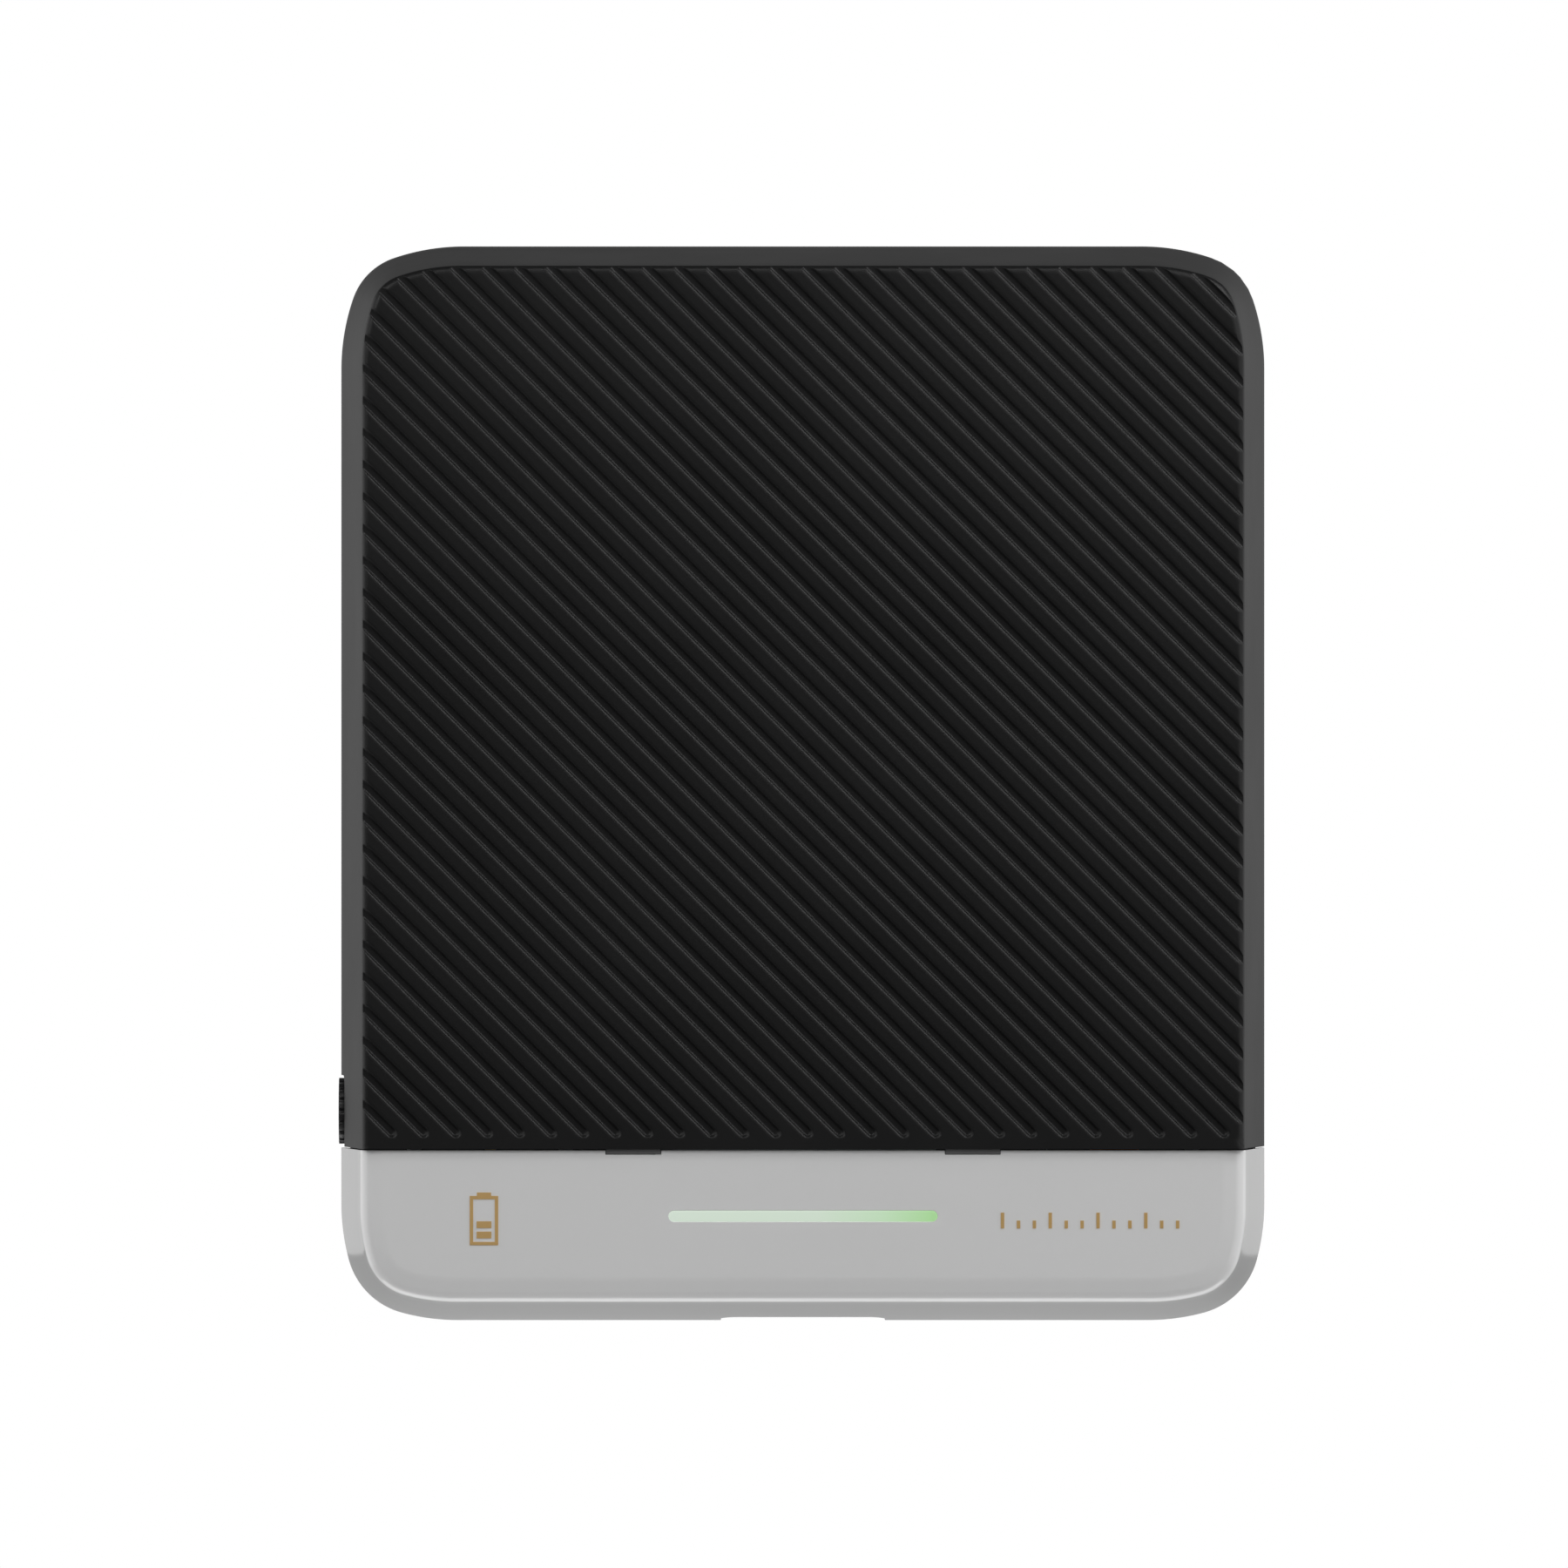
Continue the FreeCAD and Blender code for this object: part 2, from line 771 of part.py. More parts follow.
def terminal_points():
    """Every cell terminal, on the cells' front faces."""
    return [Vector(cell_centre(k), cells_front, z + way * terminal_offset)
            for z in (upper_row_z, lower_row_z) for k in range(columns) for way in (-1, 1)]


def cell_terminals():
    """Round terminal posts of the cells."""
    return group([rod(terminal_radius, p, p - Vector(0, terminal_height, 0)) for p in terminal_points()])


def cell_links():
    """Aluminium links that join the cells in series through both rows."""
    links = []
    for z, first in ((upper_row_z, 1), (lower_row_z, -1)):
        for k in range(columns - 1):
            way = first if k % 2 == 0 else -first
            level = z + way * terminal_offset
            links.append(box(cell_centre(k) - link_width / 2, cell_centre(k + 1) + link_width / 2,
                             link_front, link_back, level - link_width / 2, level + link_width / 2))
    x = cell_centre(0)
    low = lower_row_z + terminal_offset - link_width / 2
    high = upper_row_z - terminal_offset + link_width / 2
    links.append(box(x - link_width / 2, x + link_width / 2, link_front, link_back, low, high))
    return group(links)


def terminal_nuts():
    """Nuts that clamp the links and bars to the terminals."""
    lift = Vector(0, terminal_height + link_thickness, 0)
    tall = Vector(0, nut_height, 0)
    return group([hexagon(nut_radius, p - lift, p - lift - tall) for p in terminal_points()])


def pack_bar(level, x_out, reach_back, z_end):
    """Copper bar from the last cell's terminal to the side, down past the cells and back."""
    x = last_column
    turn_z = strap_low - shelf_thickness - bar_thickness
    lead = box(x - link_width / 2, x_out + bar_width / 2, link_front, link_back, level - link_width / 2,
               level + link_width / 2)
    drop = box(x_out - bar_width / 2, x_out + bar_width / 2, link_front, link_back, turn_z - bar_thickness,
               level)
    back = box(x_out - bar_width / 2, x_out + bar_width / 2, link_front, reach_back, turn_z - bar_thickness,
               turn_z)
    tail = box(x_out - bar_width / 2, x_out + bar_width / 2, reach_back - bar_thickness, reach_back, z_end,
               turn_z)
    return [lead, drop, back, tail]


def positive_bar():
    """Copper bar from the pack's plus terminal to the fuse."""
    return join(pack_bar(upper_row_z - terminal_offset, fuse_x, fuse_front - bar_thickness,
                         fuse_high - bar_width))


def negative_bar():
    """Copper bar from the pack's minus terminal to the electronics board."""
    parts = pack_bar(lower_row_z + terminal_offset, minus_x, board_front, landing_low)
    parts.append(box(board_x[1] - bar_width, minus_x + bar_width / 2, board_front - bar_thickness, board_front,
                     landing_low, landing_high))
    return join(parts)


def main_fuse():
    """Cylindrical pack fuse with a blade at each end."""
    z = (fuse_low + fuse_high) / 2
    y = fuse_front - bar_thickness - fuse_radius / 2
    body = rod(fuse_radius, Vector(fuse_x, y, z - fuse_tall / 2), Vector(fuse_x, y, z + fuse_tall / 2))
    blade = box(fuse_x - bar_width / 2, fuse_x + bar_width / 2, fuse_front - bar_thickness, fuse_front,
                fuse_low, fuse_high)
    return join([body.cut(box(-width, width, fuse_front - bar_thickness, 0, bottom, top)), blade])


def fuse_holder():
    """Insulating block that the fuse is screwed to."""
    return box(fuse_x - fuse_base_width / 2, fuse_x + fuse_base_width / 2 - panel_play, fuse_front, tray_floor,
               fuse_low, fuse_high)


def positive_lead():
    """Copper bar from the fuse to the plus socket."""
    low = panel_top + 3 * neck_rise
    y = -socket_reach
    drop = box(fuse_x - bar_width / 2, fuse_x + bar_width / 2, fuse_front - 2 * bar_thickness,
               fuse_front - bar_thickness, low, fuse_low + bar_width / 2)
    flat = box(socket_x[1] - bar_width / 2, fuse_x + bar_width / 2, y - bar_width / 2,
               fuse_front - bar_thickness, low, low + bar_thickness)
    return join([drop, flat])


def negative_lead():
    """Copper bar from the electronics board to the minus socket."""
    low = panel_top + 3 * neck_rise
    y = -socket_reach
    x = board_x[1] - 2 * board_margin
    drop = box(x - bar_width, x, board_front - bar_thickness, board_front, low, board_bottom + bar_width)
    flat = box(x - bar_width, socket_x[0] + bar_width / 2, y - bar_width / 2, board_front,
               low, low + bar_thickness)
    return join([drop, flat])


def link_cap():
    """Thin insulating cap over the links, open where the two bars leave."""
    low = cells_bottom + cap_wall
    high = cells_top - cap_wall
    outer = box(-cap_half, cap_half, cells_front - cap_height, cells_front, low, high)
    inner = box(-cap_half + cap_wall, cap_half - cap_wall, cells_front - cap_height + cap_wall, cells_front,
                low + cap_wall, high - cap_wall)
    cuts = [box(last_column, width, link_front - lens_play, cells_front,
                upper_row_z - terminal_offset - link_width, upper_row_z - terminal_offset + link_width),
            box(minus_x - bar_width, minus_x + bar_width, link_front - lens_play, cells_front,
                cells_bottom, cells_bottom + link_width)]
    return outer.cut(inner).cut(cuts)


def heat_spreader():
    """Finned aluminium plate behind the electronics board."""
    x0, x1 = spreader_x
    low = board_bottom + board_margin
    high = board_top - board_margin
    parts = [box(x0, x1, tray_floor - spreader_base, tray_floor, low, high)]
    step = (x1 - x0 - fin_thickness) / (fin_count - 1)
    for k in range(fin_count):
        x = x0 + k * step
        parts.append(box(x, x + fin_thickness, tray_floor - spreader_depth, tray_floor - spreader_base, low,
                         high))
    return join(parts)


def board_posts():
    """Corners and middle of the electronics board where posts hold it."""
    low = board_bottom + board_margin / 2
    high = board_top - board_margin / 2
    left = board_x[0] + board_margin / 2
    right = board_x[1] - board_margin / 2
    return [(x, z) for x in (left, right) for z in (low, high)]


def board_standoffs():
    """Hexagonal posts under the electronics board."""
    posts = []
    for x, z in board_posts():
        post = hexagon(m4_head_radius, Vector(x, tray_floor, z), Vector(x, board_back, z))
        posts.append(post.cut(rod(m4_radius, Vector(x, board_back + 4 * m4_radius, z),
                                  Vector(x, board_back, z))))
    return group(posts)


def board_screws():
    """Screws that hold the electronics board to its posts."""
    screws = []
    for x, z in board_posts():
        head = rod(m4_head_radius, Vector(x, board_front, z), Vector(x, board_front - m4_head, z))
        shank = rod(m4_radius, Vector(x, board_back + 4 * m4_radius, z), Vector(x, board_front, z))
        screws.append(join([shank, head]))
    return group(screws)


def control_board():
    """Circuit board of the battery management electronics."""
    plate = box(board_x[0], board_x[1], board_front, board_back, board_bottom, board_top)
    return plate.cut([rod(m4_radius, Vector(x, board_front - overcut, z), Vector(x, board_back + overcut, z))
                      for x, z in board_posts()])


def board_capacitors():
    """Row of round capacitors on the board."""
    z = board_bottom + (board_top - board_bottom) * capacitor_row
    cans = []
    for k in range(capacitor_count):
        foot = Vector(board_x[0] + (2 + k) * capacitor_pitch, board_front, z)
        cans.append(rod(capacitor_radius, foot, foot - Vector(0, capacitor_tall, 0)))
    return group(cans)


def board_mosfets():
    """Row of power switches on the board."""
    z = board_bottom + (board_top - board_bottom) * mosfet_row
    blocks = []
    for k in range(mosfet_count):
        x = board_x[0] + 2 * board_margin + k * mosfet_pitch
        blocks.append(box(x, x + mosfet_size, board_front - mosfet_tall, board_front, z, z + mosfet_size))
    return group(blocks)


def board_connectors():
    """Plug-in connectors along the board's upper edge."""
    z = board_top - board_margin
    plugs = []
    for k in range(connector_count):
        x = board_x[0] + connector_start + k * connector_pitch
        plugs.append(box(x, x + connector_size, board_front - connector_tall, board_front,
                         z - connector_tall / 2, z))
    return group(plugs)


def service_panel():
    """Folded steel shelf that closes the battery compartment and carries the sockets."""
    edge = wall_x - sheet - panel_play
    neck = half - rib_inset - panel_play
    nose = half - skirt_inset(panel_front) - skirt_wall - 2 * panel_play
    corners = [(-edge, tray_floor), (-edge, rim), (-neck, rim), (-nose, panel_front),
               (nose, panel_front), (neck, rim), (edge, rim), (edge, tray_floor)]
    wire = Part.makePolygon([Vector(x, y, flange_top) for x, y in corners + corners[:1]])
    plate = Part.Face(wire).extrude(Vector(0, 0, panel_thickness))
    flange = box(-edge, edge, tray_floor - panel_thickness, tray_floor, panel_top, panel_top + panel_flange)
    up = Vector(0, 0, panel_thickness)
    holes = []
    for x in socket_x:
        spot = Vector(x, -socket_reach, flange_top)
        holes.append(rod(socket_mouth_radius, spot - up, spot + up * 2))
    for x in port_x:
        holes.append(box(x - port_wide / 2, x + port_wide / 2, -port_reach - port_deep / 2,
                         -port_reach + port_deep / 2, flange_top - panel_thickness,
                         panel_top + panel_thickness))
    for x, reach, radius in ((button_x, button_reach, housing_radius), (stud_x, stud_reach, stud_radius),
                             (vent_x, vent_reach, vent_radius)):
        spot = Vector(x, -reach, flange_top)
        holes.append(rod(radius, spot - up, spot + up * 2))
    holes += [rod(m4_radius, p, p + Vector(0, 0, 4 * flange_thickness))
              for p in cover_screw_points(cover_screw_x + light_screw_x)]
    reach = Vector(0, 3 * panel_thickness, 0)
    holes += [rod(m4_radius, p - reach, p + reach) for p in panel_screw_points()]
    return join([plate, flange]).cut(holes)


def power_socket(x):
    """Insulating housing of one power socket, facing down."""
    y = -socket_reach
    mouth = flange_top - socket_length
    flange = box(x - socket_flange / 2, x + socket_flange / 2, y - socket_flange / 2, y + socket_flange / 2,
                 flange_top - socket_flange_thickness, flange_top)
    barrel = rod(socket_radius, Vector(x, y, mouth), Vector(x, y, flange_top))
    neck = rod(socket_mouth_radius, Vector(x, y, flange_top), Vector(x, y, panel_top + neck_rise))
    bore = rod(socket_mouth_radius, Vector(x, y, mouth - overcut), Vector(x, y, mouth + socket_mouth_depth))
    core = rod(contact_radius, Vector(x, y, mouth), Vector(x, y, panel_top + 2 * neck_rise))
    return join([flange, barrel, neck]).cut([bore, core])


def socket_contact(x):
    """Copper contact sleeve of one power socket with its connecting stud."""
    y = -socket_reach
    low = flange_top - socket_length + socket_mouth_depth
    body = rod(contact_radius, Vector(x, y, low), Vector(x, y, panel_top + 3 * neck_rise))
    return body.cut(rod(contact_bore_radius, Vector(x, y, low - overcut),
                        Vector(x, y, low + contact_bore_depth)))


def comm_port(x):
    """Shielded data socket with a square mouth facing down."""
    y = -port_reach
    low = flange_top - port_drop
    body = box(x - port_wide / 2, x + port_wide / 2, y - port_deep / 2, y + port_deep / 2, low,
               low + port_tall)
    mouth = box(x - port_mouth_wide / 2, x + port_mouth_wide / 2, y - port_mouth_deep / 2,
                y + port_mouth_deep / 2, low - overcut, low + port_mouth_tall)
    return body.cut(mouth)


def button_housing():
    """Bush through the panel that guides the power button."""
    spot = Vector(button_x, -button_reach, flange_top)
    down = Vector(0, 0, -1)
    flange = rod(housing_flange_radius, spot, spot + down * button_lip)
    barrel = rod(housing_radius, spot, spot - down * housing_rise)
    guide = rod(button_radius + button_play, spot + down * (button_lip + overcut), spot - down * overcut)
    room = rod(button_shoulder_radius + rest_gap, spot, Vector(spot.x, spot.y, housing_roof))
    return join([flange, barrel]).cut([guide, room])


def power_button():
    """Button cap with the shoulder that keeps it in its bush."""
    spot = Vector(button_x, -button_reach, button_face)
    cap = rod(button_radius, spot, Vector(spot.x, spot.y, shoulder_high))
    cap = cap.makeFillet(button_edge_radius,
                         [e for e in cap.Edges if abs(e.BoundBox.ZMax - button_face) < in_plane])
    shoulder = rod(button_shoulder_radius, Vector(spot.x, spot.y, shoulder_low),
                   Vector(spot.x, spot.y, shoulder_high))
    return join([cap, shoulder])


def button_spring():
    """Coil spring between the button's shoulder and the roof of its bush."""
    low = shoulder_high + wire_radius
    tall = housing_roof - wire_radius - low
    steps = int(spring_turns * spring_points)
    turn = 2 * math.pi / spring_points
    points = [Vector(spring_radius * math.cos(turn * k), spring_radius * math.sin(turn * k), tall * k / steps)
              for k in range(steps + 1)]
    path = Part.BSplineCurve()
    path.interpolate(points)
    section = Part.Wire(Part.makeCircle(wire_radius, points[0], Vector(0, 1, 0)))
    spring = Part.Wire(path.toShape()).makePipeShell([section], True, True)
    spring.translate(Vector(button_x, -button_reach, low))
    return spring


def ground_stud():
    """Threaded earth stud: a collar under the panel, a free end below it and a shank through the panel."""
    seat = Vector(stud_x, -stud_reach, flange_top)
    collar_low = seat - Vector(0, 0, stud_collar)
    collar = hexagon(stud_nut_radius, seat, collar_low)
    free_end = rod(stud_radius, collar_low, collar_low - Vector(0, 0, stud_length))
    shank = rod(stud_radius, seat, seat + Vector(0, 0, panel_thickness + stud_nut_height))
    return join([collar, free_end, shank])


def ground_nut():
    """Nut above the panel that clamps the earth stud to it."""
    seat = Vector(stud_x, -stud_reach, panel_top)
    nut = hexagon(stud_nut_radius, seat, seat + Vector(0, 0, stud_nut_height))
    return nut.cut(rod(stud_radius, seat, seat + Vector(0, 0, 2 * stud_nut_height)))


def vent_plug():
    """Breather plug that levels the pressure of the battery compartment."""
    spot = Vector(vent_x, -vent_reach, flange_top)
    down = Vector(0, 0, -vent_flange_thickness)
    cap = rod(vent_flange_radius, spot, spot + down)
    body = rod(vent_radius, spot, spot + Vector(0, 0, 3 * panel_thickness))
    slots = []
    for k in range(vent_slots):
        slot = box(-vent_flange_radius, vent_flange_radius, -vent_slot / 2, vent_slot / 2,
                   -vent_flange_thickness, -vent_flange_thickness / 2)
        slot.rotate(Vector(0, 0, 0), Vector(0, 0, 1), 180 * k / vent_slots)
        slot.translate(spot)
        slots.append(slot)
    return join([cap, body]).cut(slots)


def isolator_bezel():
    """Ring on the tray's wall round the isolator knob."""
    inner = Vector(-wall_x, knob_y, knob_z)
    outer = inner - Vector(bezel_thickness, 0, 0)
    ring = rod(bezel_radius, inner, outer)
    return ring.cut(rod(shaft_radius + shaft_play, inner, outer))


def isolator_knob():
    """Low round knob with a scalloped rim and a grip bar left between two scoops."""
    back = Vector(-wall_x - bezel_thickness - rest_gap, knob_y, knob_z)
    face = Vector(-half - knob_proud, knob_y, knob_z)
    disc = rod(knob_radius, back, face)
    cuts = []
    for k in range(knob_scallops):
        angle = math.radians(360 * k / knob_scallops)
        rim_point = Vector(0, math.cos(angle), math.sin(angle)) * knob_radius
        cuts.append(rod(scallop_radius, back + rim_point, face + rim_point))
    floor_x = back.x - grip_floor
    scoop = rod(knob_radius - grip_inset, Vector(floor_x, knob_y, knob_z), face)
    bar = box(face.x, floor_x, knob_y - knob_radius, knob_y + knob_radius,
              knob_z - grip_width / 2, knob_z + grip_width / 2)
    cuts.append(scoop.cut(bar))
    return disc.cut(cuts)


def isolator_shaft():
    """Steel shaft from the knob into the rotary switch."""
    start = Vector(-wall_x - bezel_thickness - rest_gap, knob_y, knob_z)
    return rod(shaft_radius, start, Vector(-wall_x + sheet + shaft_depth - rest_gap, knob_y, knob_z))


def isolator_switch():
    """Rotary switch block on the inside of the tray's left wall, in four decks."""
    x0 = -wall_x + sheet
    deck = switch_length / switch_decks
    parts = []
    for k in range(switch_decks):
        shrink = deck_step * (k % 2)
        parts.append(box(x0 + k * deck, x0 + (k + 1) * deck, knob_y - switch_deep / 2 + shrink,
                         knob_y + switch_deep / 2 - shrink, knob_z - switch_half + shrink,
                         knob_z + switch_half - shrink))
    bore = rod(shaft_radius + shaft_play, Vector(x0 - overcut, knob_y, knob_z),
               Vector(x0 + shaft_depth, knob_y, knob_z))
    return join(parts).cut(bore)


def light_bracket():
    """Folded bracket under the flange that holds the light board behind the lens."""
    x = light_bracket_half
    back = light_board_back + light_bracket_sheet
    plate = box(-x, x, light_board_back, back, upper_edge - light_bracket_tall, upper_edge)
    flange = box(-x, x, light_board_back, back + light_bracket_flange, upper_edge - light_bracket_sheet,
                 upper_edge)
    drop = Vector(0, 0, 2 * light_bracket_sheet)
    holes = [rod(m4_radius, p, p - drop) for p in cover_screw_points(light_screw_x)]
    return join([plate, flange]).cut(holes)


def light_board():
    """Narrow circuit board that carries the light bar's LEDs."""
    x = light_bracket_half
    return box(-x, x, light_board_front, light_board_back, light_z - light_height, light_z + light_height)


def light_leds():
    """Row of LEDs on the light board."""
    step = 2 * (light_bracket_half - led_width) / (led_count - 1)
    leds = []
    for k in range(led_count):
        x = -light_bracket_half + led_width / 2 + k * step
        leds.append(box(x, x + led_width, led_front, light_board_front, light_z - led_tall / 2,
                        light_z + led_tall / 2))
    return group(leds)


def snap_tongues():
    """Grey tongues under the upper cover's flange that hold the lower cover's top edge."""
    tongues = []
    for side in (-1, 1):
        x = side * tongue_x
        reach = tongue_width / 2 - tongue_play
        low = lower_edge - tongue_tall + tongue_play
        y = lower_face + tongue_play
        tongues.append(box(x - reach, x + reach, y, y + tongue_length, low, upper_edge))
    return group(tongues)


def upright_screws(points, drop):
    """M4 screws driven upwards, their heads a drop below each point."""
    screws = []
    for p in points:
        head_top = p - Vector(0, 0, drop)
        head = rod(m4_head_radius, head_top, head_top - Vector(0, 0, m4_head))
        shank = rod(m4_radius, head_top, p + Vector(0, 0, flange_thickness + 2 * panel_thickness))
        screws.append(join([head, shank]))
    return group(screws)


def level_screws(points, radius, head_radius, head, toward, length):
    """Screws along Y with their heads on each point; toward is the side the shank goes."""
    way = Vector(0, toward, 0)
    return group([join([rod(head_radius, p, p - way * head), rod(radius, p, p + way * length)])
                  for p in points])


nodes = {
    "wall_bracket": wall_bracket(),
    "hanger_rail": hanger_rail(),
    "rail_screws": level_screws(rail_screw_points(), m4_radius, m4_head_radius, m4_head, -1,
                                bracket_sheet + sheet),
    "rear_bumpers": rear_bumpers(),
    "chassis_tray": chassis_tray(),
    "cable_grommet": cable_grommet(),
    "front_cover": front_cover(),
    "cover_gasket": cover_gasket(),
    "cover_screws": group([upright_screws(cover_screw_points(cover_screw_x), 0),
                           upright_screws(cover_screw_points(light_screw_x), light_bracket_sheet)]),
    "snap_tongues": snap_tongues(),
    "lower_cover": lower_cover(),
    "light_lens": light_lens(),
    "gold_pictogram": pictogram(),
    "gold_scale": charge_scale(),
    "light_bracket": light_bracket(),
    "light_board": light_board(),
    "light_leds": light_leds(),
    "service_panel": service_panel(),
    "panel_screws": level_screws(panel_screw_points(), m4_radius, m4_head_radius, m4_head, 1, 2 * sheet),
    "plus_socket": power_socket(socket_x[1]),
    "minus_socket": power_socket(socket_x[0]),
    "plus_contact": socket_contact(socket_x[1]),
    "minus_contact": socket_contact(socket_x[0]),
    "button_housing": button_housing(),
    "power_button": power_button(),
    "button_spring": button_spring(),
    "ground_stud": ground_stud(),
    "ground_nut": ground_nut(),
    "vent_plug": vent_plug(),
    "isolator_bezel": isolator_bezel(),
    "isolator_knob": isolator_knob(),
    "isolator_shaft": isolator_shaft(),
    "isolator_switch": isolator_switch(),
    "cells_upper": cell_row(upper_row_z),
    "cells_lower": cell_row(lower_row_z),
    "cell_spacers": cell_spacers(),
    "thermal_pad": thermal_pad(),
    "end_plates": end_plates(),
    "module_screws": level_screws(module_screw_points(), m5_radius, m5_head_radius, m5_head, -1,
                                  module_screw_depth),
    "tie_straps": tie_straps(),
    "cell_shelf": cell_shelf(),
    "cell_terminals": cell_terminals(),
    "cell_links": cell_links(),
    "terminal_nuts": terminal_nuts(),
    "link_cap": link_cap(),
    "positive_bar": positive_bar(),
    "negative_bar": negative_bar(),
    "positive_lead": positive_lead(),
    "negative_lead": negative_lead(),
    "main_fuse": main_fuse(),
    "fuse_holder": fuse_holder(),
    "heat_spreader": heat_spreader(),
    "control_board": control_board(),
    "board_standoffs": board_standoffs(),
    "board_screws": board_screws(),
    "board_parts": group([board_capacitors(), board_mosfets(), board_connectors()]),
}
for number, x in enumerate(port_x, 1):
    nodes[f"comm_port_{number}"] = comm_port(x)

os.makedirs("parts", exist_ok=True)
for name, shape in nodes.items():
    shape.exportStep(f"parts/{name}.step")
print(len(nodes), "nodes written")
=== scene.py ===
import json
import math

import bmesh
import bpy
import numpy as np
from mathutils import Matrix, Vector


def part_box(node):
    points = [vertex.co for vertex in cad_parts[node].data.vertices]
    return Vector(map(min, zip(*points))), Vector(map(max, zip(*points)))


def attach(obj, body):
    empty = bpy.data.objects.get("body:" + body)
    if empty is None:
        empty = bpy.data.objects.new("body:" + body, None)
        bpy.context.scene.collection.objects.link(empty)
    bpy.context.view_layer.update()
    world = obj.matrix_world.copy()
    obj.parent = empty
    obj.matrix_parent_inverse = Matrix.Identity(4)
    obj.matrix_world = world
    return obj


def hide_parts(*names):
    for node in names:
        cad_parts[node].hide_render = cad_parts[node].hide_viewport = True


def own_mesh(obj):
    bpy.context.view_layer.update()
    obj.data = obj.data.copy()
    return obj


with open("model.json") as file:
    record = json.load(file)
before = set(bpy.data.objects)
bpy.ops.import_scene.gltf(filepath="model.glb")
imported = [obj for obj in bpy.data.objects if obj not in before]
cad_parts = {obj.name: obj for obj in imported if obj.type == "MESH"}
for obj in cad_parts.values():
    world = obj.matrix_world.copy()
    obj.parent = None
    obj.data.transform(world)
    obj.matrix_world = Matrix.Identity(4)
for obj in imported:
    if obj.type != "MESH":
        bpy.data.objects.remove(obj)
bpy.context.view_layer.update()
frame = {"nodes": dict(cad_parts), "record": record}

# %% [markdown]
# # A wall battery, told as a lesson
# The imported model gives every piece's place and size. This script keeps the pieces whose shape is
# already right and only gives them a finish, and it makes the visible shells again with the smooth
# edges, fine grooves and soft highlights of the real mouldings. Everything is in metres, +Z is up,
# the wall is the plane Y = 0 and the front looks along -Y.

mm = 0.001
cover_low, cover_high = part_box("front_cover")
white_low, white_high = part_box("lower_cover")
half = cover_high.x
top = cover_high.z
bottom = white_low.z
front = cover_low.y
skirt_rear = cover_high.y
split_high = cover_low.z
split_low = white_high.z
middle_z = (top + bottom) / 2
print("case", round(2 * half, 4), "x", round(top - bottom, 4), "m, front at", round(front, 4))

# %% [markdown]
# ## The outline
# Both covers share one outline: straight sides joined by corners that turn gently, then tightly, then
# gently again. A plain radius would look cheaper, because the highlight would stop dead where the arc
# starts. Each corner is three arcs, so the distance to the edge and the outward direction are exact.

# %% The outline's arcs, and the distance from a point to the edge
wide_radius = 115 * mm
corners = {1: (34.5 * mm, 19.0), -1: (40.0 * mm, 15.0)}


def corner_arcs(way):
    """Three arcs of the right-hand corner at the top (way 1) or bottom (way -1): centre, radius, angles."""
    tight, turn = corners[way]
    edge = top if way > 0 else bottom
    cos, sin = math.cos(math.radians(turn)), math.sin(math.radians(turn))
    reach = wide_radius * (1 - cos + sin) + tight * (cos - sin)
    first = np.array([half - wide_radius, edge - way * reach])
    direction = np.array([cos, way * sin])
    second = first + direction * (wide_radius - tight)
    third = second - np.array([sin, way * cos]) * (wide_radius - tight)
    return [(first, wide_radius, 0.0, turn), (second, tight, turn, 90.0 - turn),
            (third, wide_radius, 90.0 - turn, 90.0)]


arcs = {way: corner_arcs(way) for way in (1, -1)}


def inset_and_normal(x, z):
    """Distance of points inside the outline from its edge, and the outward direction there."""
    x, z = np.asarray(x, float), np.asarray(z, float)
    side = np.where(x < 0, -1.0, 1.0)
    ax = np.abs(x)
    best = half - ax
    nx, nz = np.ones_like(ax), np.zeros_like(ax)
    for edge, way in ((top, 1.0), (bottom, -1.0)):
        flat = way * (edge - z)
        nearer = flat < best
        best, nx, nz = np.where(nearer, flat, best), np.where(nearer, 0.0, nx), np.where(nearer, way, nz)
    for way, pieces in arcs.items():
        for centre, radius, start, end in pieces:
            dx, dz = ax - centre[0], way * (z - centre[1])
            angle = np.degrees(np.arctan2(dz, dx))
            away = np.hypot(dx, dz)
            inside = (angle >= start - 1e-6) & (angle <= end + 1e-6) & (dx > -1e-9) & (dz > -1e-9)
            take = inside & (radius - away < best + 1e-7)
            best = np.where(take, radius - away, best)
            safe = np.maximum(away, 1e-9)
            nx, nz = np.where(take, dx / safe, nx), np.where(take, way * dz / safe, nz)
    return best, nx * side, nz


def outline_points(way, steps):
    """Points and outward directions along one right-hand corner, from the side to the middle of the edge."""
    points = []
    for centre, radius, start, end in arcs[way]:
        count = max(2, int(steps * (end - start) / 90))
        for k in range(count + (end == 90.0)):
            angle = math.radians(start + (end - start) * k / count)
            direction = np.array([math.cos(angle), way * math.sin(angle)])
            points.append((centre + direction * radius, direction))
    return points


print("outline corner starts", np.round(arcs[1][0][0], 4), np.round(arcs[-1][0][0], 4))

# %% [markdown]
# ## The sides' section
# Seen from the end, each cover leans in by 12.8 mm on its way forward and then rolls over into the
# front. The black cover rolls on a small radius. The white one rolls on a larger radius into a
# shoulder that rises gently to its flat face, and the edge of that face catches a fine line of light.

# %% Section of the sides
side_run = 12.8 * mm
slope = side_run / (skirt_rear - front)
lean = math.atan(slope)
skirt_wall = 2.5 * mm


def side_y(inset):
    """Depth of the leaning side at an inset."""
    return skirt_rear - inset / slope


